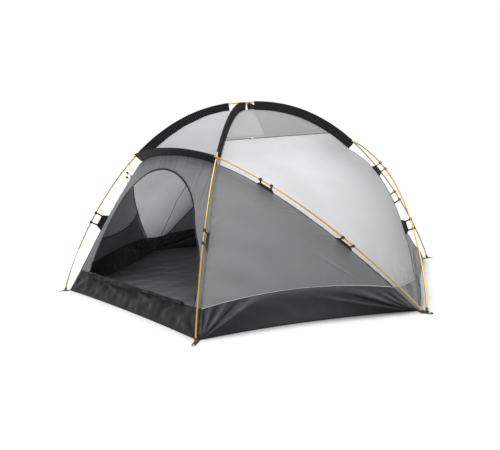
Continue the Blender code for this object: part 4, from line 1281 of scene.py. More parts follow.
def tube_faces(rings: int, count: int) -> list[tuple[int, ...]]:
    """Faces of a tube with closed ends.

    Args:
        rings: Rings of points along it.
        count: Points in each ring.

    Returns:
        Point numbers of each face.
    """
    faces: list[tuple[int, ...]] = []
    for j in range(rings - 1):
        for i in range(count):
            a, b = j * count + i, j * count + (i + 1) % count
            faces.append((a, b, b + count, a + count))
    faces.append(tuple(range(count))[::-1])
    faces.append(tuple(range((rings - 1) * count, rings * count)))
    return faces


def sweep(name: str, path: Array, sections: Array, outward: Array | None = None) -> Object:
    """Make a tube or ribbon with closed ends along a path.

    Args:
        name: Name of the piece.
        path: Points of the path.
        sections: Outline at each point, as sideways and outward distances.
        outward: Outward direction at each point, where it matters.

    Returns:
        The new object.
    """
    sides, ups = frames_along(path, outward)
    points = path[:, None] + sides[:, None] * sections[..., :1] + ups[:, None] * sections[..., 1:]
    loop = np.concatenate((sections[0], sections[0][:1]))
    girth = lengths_along(loop)[:-1]
    flat = np.stack(np.broadcast_arrays(girth[None], lengths_along(path)[:, None]), axis=-1)
    faces = tube_faces(len(path), sections.shape[1])
    item = build_object(name, points.reshape(-1, 3), faces, flat.reshape(-1, 2))
    weld(item, outwards=False)
    return item


def ring(count: int) -> Array:
    """Unit circle of points for a round section."""
    angle = np.linspace(0, 2 * math.pi, count, endpoint=False)
    return np.stack((np.cos(angle), np.sin(angle)), axis=-1)


def ribbon(name: str, path: Array, outward: Array, width: float, thickness: float) -> Object:
    """Make a flat tape with rounded edges along a path.

    Args:
        name: Name of the piece.
        path: Points of its middle.
        outward: Direction that its face looks at each point.
        width: Width of the tape.
        thickness: Its thickness.

    Returns:
        The new object.
    """
    shape = ring(8)
    aside = np.sign(shape[:, 0]) * np.abs(shape[:, 0]) ** 0.5 * width / 2
    corners = np.stack((aside, shape[:, 1] * thickness / 2), axis=-1)
    return sweep(name, path, np.broadcast_to(corners, (len(path), 8, 2)), outward)


def joined(name: str, items: Sequence[Object]) -> Object:
    """Join several objects into one piece.

    Args:
        name: Name of the joined piece.
        items: Objects, which are used up.

    Returns:
        The joined object.
    """
    bm = bmesh.new()
    for item in items:
        bm.from_mesh(item.data)
    mesh = bpy.data.meshes.new(name)
    bm.to_mesh(mesh)
    bm.free()
    mesh.shade_smooth()
    for item in items:
        bpy.data.objects.remove(item)
    return add_object(name, mesh)


def settle(item: Object, body: str, *nodes: str) -> Object:
    """Let a finished piece ride on its body and stand for its CAD nodes.

    Args:
        item: The piece.
        body: Body that carries it.
        nodes: CAD nodes that it replaces.

    Returns:
        The same piece.
    """
    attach(item, body)
    if nodes:
        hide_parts(*nodes)
    LOG.info("%s rides on %s, %d points", item.name, body, len(item.data.vertices))
    return item


@dataclass
class PoleSet:
    """Four poles of plugged aluminium tube, each of ten sections with a turned pin at both ends."""

    sections: int = 10
    sides: int = 16
    groove: float = 0.0004
    groove_length: float = 0.0028
    tip_d: float = 0.0055
    tip_length: float = 0.010
    shoulder: float = 0.0008
    strap_thickness: float = 0.002
    bore_facets: int = 8

    def centre_lines(self) -> dict[str, Array]:
        """Centre line of each pole from end to end.

        Returns:
            Points by node name.
        """
        s = np.linspace(0, 1, 240)
        reach = by_length(POLES.diagonal, POLES.foot_r, 0.0, s)
        lines = {}
        for name, under, sx in (("upper_diagonal_pole", False, -1), ("lower_diagonal_pole", True, 1)):
            half = POLES.diagonal_pole(reach, under)
            there = to_quarter(half, sx, -1)
            lines[name] = np.concatenate((there, to_quarter(half, -sx, 1)[-2::-1]))
        across = by_length(POLES.arch, -POLES.side_x, POLES.side_x, np.linspace(0, 1, 481))
        arch = POLES.arch_pole(across)
        lines["front_arch_pole"] = arch
        lines["back_arch_pole"] = to_quarter(arch, 1, 1)
        return lines

    def seated(self, line: Array) -> Array:
        """Line with its ends raised to the floors of their sockets.

        Args:
            line: Centre line of a pole.

        Returns:
            The same line with new end points.
        """
        bore = (POLES.pole_d / 2 + POLES.fit) / math.cos(math.pi / self.bore_facets)
        line = line.copy()
        for end, following in ((0, 4), (-1, -5)):
            along = unit(line[following] - line[end])
            rise = (self.strap_thickness + bore * math.hypot(along[0], along[1])) / along[2]
            line[end] = line[end] + along * (rise + POLES.fit)
        return line

    def build(self) -> None:
        """Build, dress and settle the four poles."""
        for name, line in self.centre_lines().items():
            line = self.seated(line)
            total = lengths_along(line)[-1]
            stations = list(np.linspace(0, total, 360))
            half = self.groove_length / 2
            joints = [total * k / self.sections for k in range(1, self.sections)]
            for joint in joints:
                stations += [joint - half, joint - half / 3, joint + half / 3, joint + half]
            for end in (self.tip_length, self.tip_length + self.shoulder):
                stations += [end, total - end]
            stations = np.array(sorted(stations))
            path = resampled(line, stations / total)
            radius = np.full(len(stations), POLES.pole_d / 2)
            for joint in joints:
                radius[np.abs(stations - joint) < half * 0.7] -= self.groove
            pin = np.minimum(stations, total - stations) <= self.tip_length + 1e-6
            radius[pin] = self.tip_d / 2
            item = sweep(f"{name}_tube", path, ring(self.sides)[None] * radius[:, None, None])
            FINISH.dress(item, "gold_anodised_tube")
            settle(item, "root", name)


@dataclass
class TubFloor:
    """Coated groundsheet with turned-up walls, drawn into folds by its six corners."""

    columns: int = 130
    wall_rows: int = 34
    ridge: float = 0.024
    fan: int = 7
    fan_depth: float = 0.0075
    # Fans of folds at both corners: place across, way they lean, first angle, step to the next, reach
    fans: tuple[tuple[float, int, int, int, float], ...] = ((0.015, 1, 26, 8, 0.19), (0.985, -1, 15, 7, 0.15))
    fan_middle: tuple[float, float] = (0.74, 1.12)
    # Depths of the floor's waves, ripples and creases
    wave: float = 0.005
    ripple: float = 0.0035
    crease: float = 0.0016
    # Places across, angles and lengths of the folds under a door; below zero they hang from the sill
    end_folds: tuple[tuple[float, float, float], ...] = (
        (0.02, 14.0, 0.34),
        (0.02, 32.0, 0.24),
        (0.08, -9.0, 0.55),
        (0.22, -14.0, 0.42),
        (0.36, -8.0, 0.50),
        (0.52, -13.0, 0.36),
        (0.60, -20.0, 0.30),
        (0.72, -16.0, 0.34),
        (0.84, -24.0, 0.26),
        (0.98, 18.0, 0.30),
        (0.98, 40.0, 0.20),
    )

    def side_wall(self, net: SeamNet, seed: int, pale: float) -> Cloth:
        """Wall along one side, from a leg to a side corner, drawn into a bent crease.

        Args:
            net: Net of its half of the tent.
            seed: Seed of its unevenness.
            pale: Painted sheen over the whole wall, as a share of its second colour.

        Returns:
            Its grid.
        """
        u, v = even(self.columns), even(self.wall_rows)
        cloth = Cloth(coons(net.side_edge(u), net.side_sill(u), NET.leg(NET.low(v)), NET.limb(NET.low(v))))
        arc = 0.10 + 0.84 * np.sin(math.pi * cloth.u) ** 0.75
        spread = np.where(cloth.v > arc, 0.20, 0.34)
        ridge = np.exp(-(((cloth.v - arc) / spread) ** 2)) * np.sin(math.pi * cloth.u) ** 0.4
        cloth.relief = cloth.relief + self.ridge * ridge * cloth.fade
        above = soft_step(cloth.v, arc, 0.022)
        middle = np.sin(math.pi * cloth.u) ** 2
        # Painted sheen: lighter in a band above the crease, more so towards the side corner, and a little
        # lighter along the middle below it
        cloth.painted_light = pale + above * (0.11 + 0.10 * cloth.u**3) + 0.04 * (1 - above) * (1 + 2 * middle)
        for k in range(self.fan):
            for side, turn, first, step, far in self.fans:
                angle = math.radians(first + step * k)
                start = cloth.at(side, 0.03)
                length = far * 1.15 / math.sin(angle)
                tip = start + np.array((turn * math.cos(angle), math.sin(angle))) * length
                # Ridges get a painted highlight and hollows painted shade
                depth, gloss = (self.fan_depth, 0.18) if k % 2 == 0 else (-self.fan_depth, -0.14)
                cloth.fold(start, tip, width=0.011, depth=depth, gloss=gloss)
        cloth.puckers(
            cloth.from_top, cloth.across, pitch=0.034, depth=0.0016, reach=0.035, lean=0.8, seed=seed
        )
        cloth.slack(depth=0.0018, size=0.11, seed=seed + 5)
        return cloth

    def end_wall(self, seed: int) -> Cloth:
        """Wall under a door, with long slanting folds where the door hangs on it.

        Args:
            seed: Seed of its unevenness.

        Returns:
            Its grid.
        """
        u, v = even(self.columns), even(self.wall_rows)
        right = NET.leg(NET.low(v))
        cloth = Cloth(coons(NET.end_edge(u), NET.end_sill(u), right * (-1, 1, 1), right))
        for k, (place, degrees, reach) in enumerate(self.end_folds):
            start = cloth.at(place, 0.96 if degrees < 0 else 0.05)
            angle = math.radians(degrees)
            tip = start + np.array((math.copysign(math.cos(angle), 0.62 - place), math.sin(angle))) * reach
            # Alternate folds get a faint painted highlight, the others faint painted shade
            share, gloss = (0.8, 0.04) if k % 2 else (-0.6, -0.01)
            cloth.fold(start, tip, width=0.026, depth=self.fan_depth * share, gloss=gloss)
        cloth.slack(depth=0.0026, size=0.09, seed=seed + 3)
        return cloth

    def gusset(self) -> Cloth:
        """Small triangle of the wall at a side corner.

        Returns:
            Its grid.
        """
        u, v = even(39), even(self.wall_rows)
        limb = NET.limb(NET.low(v))
        cloth = Cloth(coons(np.tile(NET.side, (40, 1)), NET.gusset_top(u), limb, limb * (1, -1, 1)))
        cloth.slack(depth=0.002, size=0.06, seed=41)
        # Painted sheen: the corner's cloth is made paler all over, a little unevenly
        cloth.painted_light = cloth.painted_light + 0.50 + 0.10 * ruffle(cloth.u * 3, cloth.v * 0.5, 42)
        return cloth

    def floor(self) -> Cloth:
        """Floor with the shallow creases of a sheet that was folded and is pulled taut.

        Returns:
            Its grid.
        """
        u = even(self.columns)
        front = NET.end_edge(u)
        right = np.concatenate((NET.side_edge(u), (BACK_NET.side_edge(u) * (1, -1, 1))[-2::-1]))
        grid = coons(front, front * (1, -1, 1), right * (-1, 1, 1), right)
        cloth = Cloth(grid)
        x, y = grid[..., 0], grid[..., 1]
        ends = np.minimum(cloth.from_bottom, cloth.from_top)
        inner = 1 - np.exp(-np.minimum(np.minimum(cloth.from_left, cloth.from_right), ends) / 0.05)
        waves = np.zeros_like(x)
        for (_, sx), (_, sy) in product(SIDES, ENDS):
            away, beyond = x - sx * self.fan_middle[0], y - sy * self.fan_middle[1]
            spokes = np.maximum(0, np.sin(np.arctan2(beyond, away) * 22 + sx)) ** 2
            waves = waves + spokes * np.exp(-np.hypot(away, beyond) / 0.45)
        ripples = np.maximum(0, 0.5 + 0.5 * ruffle(x / 0.16 + 0.4 * y, y / 0.5, 77))
        # Fine creases run from one corner to the other, as the sheet was folded
        creases = np.maximum(0, ruffle((0.74 * x - 0.67 * y) / 0.055, (0.67 * x + 0.74 * y) / 0.8, 78)) ** 2
        cloth.relief = -(self.wave * waves + self.ripple * ripples + self.crease * creases) * inner
        # Painted sheen, brighter along the creases and ripples, fading at the edges
        cloth.painted_light = (0.24 + 0.12 * creases + 0.10 * ripples) * inner
        return cloth

    def build(self) -> None:
        """Build, dress and settle the tub and the piping on its seam."""
        end, gusset = self.end_wall(seed=21), self.gusset()
        cloths = [self.floor()]
        for _, sx in SIDES:
            cloths.append(gusset.mirrored(sx, -1))
        for _, sy in ENDS:
            # The back walls get a faint painted sheen all over
            side = self.side_wall(net_of(sy), seed=11, pale=0.0 if sy < 0 else 0.08)
            cloths += [side.mirrored(-1, sy), side.mirrored(1, sy), end.mirrored(1, sy)]
        item = cloth_piece("tub_groundsheet", cloths, raised=0.0)
        FINISH.dress(item, "coated_floor_taffeta")
        settle(item, "root", "tub_floor")
        self.piping()

    def piping(self) -> None:
        """Thin pale piping sewn along the tub's seam."""
        share = even(80)
        items = []
        for _, sx in SIDES:
            lines = [(net_of(sy).side_sill(share), sy) for _, sy in ENDS] + [(NET.gusset_top(share), -1)]
            for line, sy in lines:
                path = to_quarter(line, sx, sy)
                outward = unit((path - INSIDE) * (1, 1, 0.3))
                items.append(
                    ribbon("piping", path + outward * 0.0014, outward, width=0.0034, thickness=0.0016)
                )
        item = joined("tub_seam_piping", items)
        FINISH.dress(item, "grey_seam_piping")
        settle(item, "root")


@dataclass
class Canopy:
    """Skin over the tub: roof triangles, grey triangles, pale kites, vents and what is sewn on them."""

    columns: int = 110
    rows: int = 110
    # Painted shade on the pale kite towards its back and in its low corner: where it starts, how high it
    # reaches, and how dark each is
    rear_from: float = 0.34
    rear_top: float = 0.98
    rear_painted_shade: float = 0.48
    corner_painted_shade: float = 0.40

    def roof_panel(self) -> Cloth:
        """Roof triangle, slightly hollow between its sleeves.

        Returns:
            Its grid.
        """
        cloth = Cloth(NET.roof_panel(self.rows, self.columns))
        cloth.puckers(cloth.from_left, cloth.along, pitch=0.045, depth=0.0014, reach=0.05, lean=0.7, seed=3)
        cloth.puckers(cloth.from_right, cloth.along, pitch=0.045, depth=0.0014, reach=0.05, lean=0.7, seed=4)
        cloth.puckers(cloth.from_bottom, cloth.across, pitch=0.05, depth=0.0014, reach=0.05, lean=0.3, seed=5)
        cloth.slack(depth=0.0022, size=0.22, seed=6)
        return cloth

    def lower_panel(self, net: SeamNet) -> Cloth:
        """Grey triangle, with tight ripples down its leg seam.

        Args:
            net: Net of its half of the tent.

        Returns:
            Its grid.
        """
        cloth = Cloth(net.lower_panel(self.rows + 40, self.columns + 30))
        cloth.puckers(
            cloth.from_left, cloth.along, pitch=0.028, depth=0.0042, reach=0.050, lean=-0.9, seed=13
        )
        cloth.puckers(cloth.from_right, cloth.along, pitch=0.060, depth=0.0020, reach=0.06, lean=0.5, seed=14)
        cloth.puckers(
            cloth.from_bottom, cloth.across, pitch=0.055, depth=0.0013, reach=0.04, lean=0.2, seed=15
        )
        cloth.slack(depth=0.0022, size=0.25, seed=16)
        low = cloth.at(0.86, 0.03)
        # Painted shade darkens the triangle towards its foot
        cloth.painted_light = 0.24 * (1 - cloth.v) ** 2
        cloth.fold(low, cloth.at(0.70, 0.26), width=0.016, depth=0.0020)
        cloth.fold(low, cloth.at(0.78, 0.22), width=0.012, depth=-0.0014)
        return cloth

    def kite(self) -> Cloth:
        """Pale kite, drum tight in its middle and rippled by its seams and corner.

        Returns:
            Its grid.
        """
        grid = NET.side_kite(self.rows + 50, self.columns + 30)
        top = np.linalg.norm(grid[-1] - grid[-2], axis=-1, keepdims=True)
        grid = grid[: -max(1, round(NET.vent_zip / float(top.mean())) or 1)]
        cloth = Cloth(grid)
        cloth.puckers(cloth.from_left, cloth.along, pitch=0.055, depth=0.0016, reach=0.06, lean=0.6, seed=23)
        cloth.puckers(cloth.from_right, cloth.along, pitch=0.055, depth=0.0016, reach=0.06, lean=0.6, seed=24)
        cloth.puckers(cloth.from_top, cloth.across, pitch=0.05, depth=0.0010, reach=0.04, lean=0.2, seed=25)
        corner = np.exp(-cloth.from_bottom / 0.10)
        ripples = ruffle(cloth.flat[..., 0] / 0.06, cloth.flat[..., 1] / 0.06, 27)
        cloth.relief = cloth.relief + 0.004 * corner * cloth.fade * ripples
        cloth.slack(depth=0.0022, size=0.28, seed=26)
        # Painted shade darkens the kite towards its back and in its low corner, with a little random
        # unevenness
        y, z, low = grid[..., 1], grid[..., 2], np.exp(-cloth.from_bottom / 0.45)
        rear = soft_step(y, self.rear_from - 0.30 * low, 0.09) * soft_step(-z, -self.rear_top, 0.07)
        uneven = 0.03 * (1 + ruffle(y / 0.5, z / 0.5, 28))
        cloth.painted_light = self.rear_painted_shade * rear + self.corner_painted_shade * low + uneven
        return cloth

    def vent(self) -> Cloth:
        """Net of a vent, which sags a little between its seams.

        Returns:
            Its grid.
        """
        cloth = Cloth(NET.vent(70, 90))
        cloth.relief = -0.006 * np.sin(math.pi * cloth.u) * np.sin(math.pi * cloth.v)
        return cloth

    def build(self) -> None:
        """Build, dress and settle every panel in each place that it has."""
        roof, kite, vent = self.roof_panel(), self.kite(), self.vent()
        lowers = {end: self.lower_panel(net_of(sy)) for end, sy in ENDS}
        for end, sy in ENDS:
            self.panel(f"{end}_roof_panel", roof.mirrored(1, sy), "roof_ripstop_polyester")
        for side, sx in SIDES:
            self.panel(f"{side}_side_panel", kite.mirrored(sx, -1), "pale_ripstop_polyester")
            self.panel(f"{side}_mesh_vent", vent.mirrored(sx, -1), "grey_insect_net", 0.0006)
            for end, sy in ENDS:
                name = f"{end}_{side}_lower_panel"
                self.panel(name, lowers[end].mirrored(sx, sy), "grey_polyester_taffeta")

    def panel(self, node: str, cloth: Cloth, finish: str, thickness: float = 0.0011) -> None:
        """Build one panel in the place of its node.

        Args:
            node: The node.
            cloth: Its grid.
            finish: Name of its finish.
            thickness: Thickness of the cloth.
        """
        item = cloth_piece(f"{node}_cloth", [cloth], thickness)
        FINISH.dress(item, finish)
        settle(item, "root", node)


@dataclass(frozen=True)
class Door:
    """Outline of a door in its wall and the surface that it lies on."""

    peak_x: float = -0.06
    jamb_left: float = 0.120
    jamb_right: float = 0.067
    head: float = 0.0875
    spring: float = 0.0024
    power_left: float = 2.0
    power_right: float = 1.65
    zip_width: float = 0.012
    track_lift: float = 0.0014
    # Swells of the sewn arch against a plain curve: height, angle and spread
    swells: tuple[tuple[float, float, float], ...] = (
        (0.036, 1.10, 0.32),
        (-0.020, 0.66, 0.15),
        (0.026, 2.36, 0.26),
    )

    @cached_property
    def surface(self) -> BVHTree:
        """Search tree of the front wall's surface.

        Returns:
            Tree of the wall's cells.
        """
        rows = NET.end_wall(60, 80)
        points = rows.reshape(-1, 3)
        return BVHTree.FromPolygons([Vector(p) for p in points], grid_faces(*rows.shape[:2]))

    def on_wall(self, x: Array, z: Array) -> Array:
        """Points of the front wall's surface over places seen from the front.

        Args:
            x: Places across.
            z: Heights.

        Returns:
            Points in the shape of the places.
        """
        spots = np.stack((x, np.full_like(x, -1.5), z), axis=-1).reshape(-1, 3)
        for spot in spots:
            hit = self.surface.ray_cast(Vector(spot), Vector((0, 1, 0)))[0]
            if hit is None:
                hit = self.surface.find_nearest(Vector((spot[0], -0.9, spot[2])))[0]
            spot[:] = hit
        return spots.reshape(*x.shape, 3)

    def outline(self, inset: float, count: int) -> Array:
        """Door's edge drawn in, from the right foot round to the left foot.

        Args:
            inset: How far it is drawn in.
            count: How many points it gets.

        Returns:
            Places across and heights, on or over the sill.
        """
        corner = float(NET.leg_seat[0])
        angle = np.linspace(0, math.pi, 801)
        right = np.cos(angle) > 0
        half = np.where(right, corner - self.jamb_right - self.peak_x, corner - self.jamb_left + self.peak_x)
        power = 2 / np.where(right, self.power_right, self.power_left)
        x = self.peak_x + np.sign(np.cos(angle)) * (half - inset) * np.abs(np.cos(angle)) ** power
        base = NET.leg_seat[2] + self.spring
        top = NET.top(np.array((0.5,)))[0, 2] - self.head
        z = base + (top - base - inset) * np.abs(np.sin(angle)) ** power
        # The sewn arch is fuller at its upper right than a plain curve, and slimmer under that
        swell = sum(height * bump(angle, middle, spread) for height, middle, spread in self.swells)
        x, z = x + swell * np.cos(angle), z + swell * np.sin(angle)
        z = np.maximum(z, self.sill(x) + self.track_lift)
        return resampled(np.stack((x, z), axis=-1), np.linspace(0, 1, count))

    def sill(self, x: Array) -> Array:
        """Height of the sill at places across."""
        line = NET.end_sill(np.linspace(0, 1, 61))
        return np.interp(x, line[:, 0], line[:, 2])


DOOR = Door()


class Repeats:
    """Geometry Nodes group that repeats one small rounded bar along lines."""

    def __init__(self) -> None:
        """Build the node group once."""
        self.tree = self.group()

    @staticmethod
    def group() -> bpy.types.NodeTree:
        """Build the node group.

        Returns:
            The group, with its lines, pitch, bar size, unevenness, seed and material as inputs.
        """
        tree = bpy.data.node_groups.new("bars_along_lines", "GeometryNodeTree")
        sockets = (
            ("Lines", "NodeSocketGeometry"),
            ("Pitch", "NodeSocketFloat"),
            ("Bar Size", "NodeSocketVector"),
            ("Unevenness", "NodeSocketFloat"),
            ("Seed", "NodeSocketInt"),
            ("Material", "NodeSocketMaterial"),
        )
        for name, kind in sockets:
            tree.interface.new_socket(name, in_out="INPUT", socket_type=kind)
        tree.interface.new_socket("Bars", in_out="OUTPUT", socket_type="NodeSocketGeometry")
        given = add_node(tree, "NodeGroupInput").outputs
        curve = add_node(tree, "GeometryNodeMeshToCurve", None, {"Mesh": given["Lines"]})
        spacing = {"Curve": curve.outputs[0], "Length": given["Pitch"]}
        spaced = add_node(tree, "GeometryNodeResampleCurve", {"mode": "LENGTH"}, spacing)
        # Each bar lies along its line, with its top outwards
        tangent = add_node(tree, "GeometryNodeInputTangent")
        stored = {"data_type": "FLOAT_VECTOR"}
        outward = add_node(tree, "GeometryNodeInputNamedAttribute", stored, {"Name": "out"})
        align = "FunctionNodeAlignRotationToVector"
        along = add_node(tree, align, {"axis": "Y"}, {"Vector": tangent.outputs[0]})
        wanted = {"Rotation": along.outputs[0], "Vector": outward.outputs["Attribute"]}
        turned = add_node(tree, align, {"axis": "Z", "pivot_axis": "Y"}, wanted)
        # The bars differ in size
        least, most = (
            add_node(tree, "ShaderNodeMath", {"operation": way}, {0: 1.0, 1: given["Unevenness"]}).outputs[0]
            for way in ("SUBTRACT", "ADD")
        )
        span = {"Min": least, "Max": most, "Seed": given["Seed"]}
        share = add_node(tree, "FunctionNodeRandomValue", {"data_type": "FLOAT"}, span).outputs["Value"]
        size = {0: given["Bar Size"], "Scale": share}
        scale = add_node(tree, "ShaderNodeVectorMath", {"operation": "SCALE"}, size)
        bar = add_node(tree, "GeometryNodeMeshUVSphere", None, {"Segments": 6, "Rings": 4, "Radius": 0.5})
        where = {"Points": spaced.outputs[0], "Rotation": turned.outputs[0], "Scale": scale.outputs[0]}
        placed = add_node(tree, "GeometryNodeInstanceOnPoints", None, where | {"Instance": bar.outputs[0]})
        real = add_node(tree, "GeometryNodeRealizeInstances", None, {"Geometry": placed.outputs[0]})
        coat = {"Geometry": real.outputs[0], "Material": given["Material"]}
        dressed = add_node(tree, "GeometryNodeSetMaterial", None, coat)
        smooth = add_node(tree, "GeometryNodeSetShadeSmooth", None, {0: dressed.outputs[0]})
        taken = add_node(tree, "NodeGroupOutput")
        tree.links.new(smooth.outputs[0], taken.inputs[0])
        return tree

    def lay(
        self,
        name: str,
        lines: Sequence[tuple[Array, Array]],
        pitch: float,
        size: tuple[float, float, float],
        finish: str,
        uneven: float = 0.1,
        seed: int = 1,
    ) -> None:
        """Repeat the bar along lines, keep the result as a plain mesh and settle it.

        Args:
            name: Name of the piece.
            lines: Paths, each with its outward directions.
            pitch: Distance between bars.
            size: Size of a bar across, along and out of the surface.
            finish: Name of its finish.
            uneven: Share by which the bars differ in size.
            seed: Seed of the differences.
        """
        points = np.concatenate([path for path, _ in lines])
        outs = np.concatenate([np.broadcast_to(out, path.shape) for path, out in lines])
        edges, start = [], 0
        for path, _ in lines:
            edges += [(start + k, start + k + 1) for k in range(len(path) - 1)]
            start += len(path)
        mesh = bpy.data.meshes.new(name)
        mesh.from_pydata(points.tolist(), edges, [])
        attribute = mesh.attributes.new("out", "FLOAT_VECTOR", "POINT")
        attribute.data.foreach_set("vector", outs.astype(np.float32).ravel())
        item = add_object(name, mesh)
        modifier = item.modifiers.new("bars", "NODES")
        modifier.node_group = self.tree
        values = {
            "Pitch": pitch,
            "Bar Size": size,
            "Unevenness": uneven,
            "Seed": seed,
            "Material": FINISH.made[finish],
        }
        for socket in self.tree.interface.items_tree:
            if socket.in_out == "INPUT" and socket.name in values:
                modifier[socket.identifier] = values[socket.name]
        shape = item.evaluated_get(bpy.context.evaluated_depsgraph_get())
        item.data = bpy.data.meshes.new_from_object(shape)
        item.modifiers.clear()
        settle(item, "root")


REPEATS = Repeats()


@dataclass
class SeamTrim:
    """Bindings, pipings and stitches along the seams of the skin."""

    stitch_pitch: float = 0.008
    stitch: tuple[float, float, float] = (0.0007, 0.0052, 0.0006)
    stitch_aside: float = 0.0042
    stitch_out: float = 0.0014
    # How deep each lies inside its seam, its width and its thickness
    binding: tuple[float, float, float] = (0.0012, 0.009, 0.0018)
    tape: tuple[float, float, float] = (0.0022, 0.0065, 0.0012)
    piping: tuple[float, float, float] = (-0.0016, 0.0026, 0.0012)

    def seams(self) -> dict[str, list[tuple[Array, Array]]]:
        """Lines of the seams by kind, each with its outward directions.

        Returns:
            Lists of paths and directions.
        """
        s, up = even(120), np.linspace(NET.tub_share, 1, 101)
        kinds = {
            "leg": (POLES.diagonal(NET.leg_reach(up)), NET.leg(up), SIDES),
            "limb": (POLES.arch(NET.limb_reach(up)), NET.limb(up), SIDES),
            "roof": (POLES.diagonal(NET.roof_reach(s)), NET.roof(s), SIDES),
            "top": (POLES.arch(NET.top_reach(s)), NET.top(s), SIDES[1:]),
        }
        found: dict[str, list[tuple[Array, Array]]] = {}
        for kind, (pole, seam, sides) in kinds.items():
            places = [(sx, sy) for _, sy in ENDS for _, sx in sides]
            out = unit(pole - seam)
            found[kind] = [(to_quarter(seam, *place), to_quarter(out, *place)) for place in places]
        return found

    @staticmethod
    def kite_tapes() -> list[tuple[Array, Array]]:
        """Lines of the tape up the inside of each pale kite, a little towards the back.

        Returns:
            Paths, each with its outward directions.
        """
        kite = Canopy().kite()
        rows, columns = kite.rows.shape[:2]
        rise = np.linspace(0.01, 0.985, 90)
        spots = [(round(v * (rows - 1)), round((0.625 - 0.17 * v) * (columns - 1))) for v in rise]
        points = kite.points()
        path = resampled(np.array([points[spot] for spot in spots]), even(59))
        square = resampled(np.array([kite.normals[spot] for spot in spots]), even(59))
        return [(to_quarter(path, sx, -1), unit(to_quarter(square, sx, -1))) for _, sx in SIDES]

    @staticmethod
    def laid(
        name: str, seams: Sequence[tuple[Array, Array]], size: tuple[float, float, float]
    ) -> list[Object]:
        """Lay a ribbon along each line.

        Args:
            name: Name of the ribbons.
            seams: Paths, each with its outward directions.
            size: Depth inside the seam, width and thickness.

        Returns:
            The ribbons.
        """
        depth, width, thickness = size
        return [ribbon(name, path - out * depth, out, width, thickness) for path, out in seams]

    def build(self) -> None:
        """Build, dress and settle the bindings, pipings and stitches."""
        seams = self.seams()
        inside = self.laid("binding", [line for found in seams.values() for line in found], self.binding)
        inside += self.laid("tape", self.kite_tapes(), self.tape)
        outside = self.laid("piping", seams["limb"], self.piping)
        for name, ribbons in (("inner_seam_binding", inside), ("outer_seam_piping", outside)):
            item = joined(name, ribbons)
            FINISH.dress(item, "black_seam_tape")
            settle(item, "root")
        rows = []
        for path, out in seams["leg"] + seams["limb"]:
            side, _ = frames_along(path, out)
            for aside in (-self.stitch_aside, self.stitch_aside):
                rows.append((path + side * aside + out * self.stitch_out, out))
        REPEATS.lay(
            "seam_stitches", rows, self.stitch_pitch, self.stitch, "polyester_thread", seed=5
        )


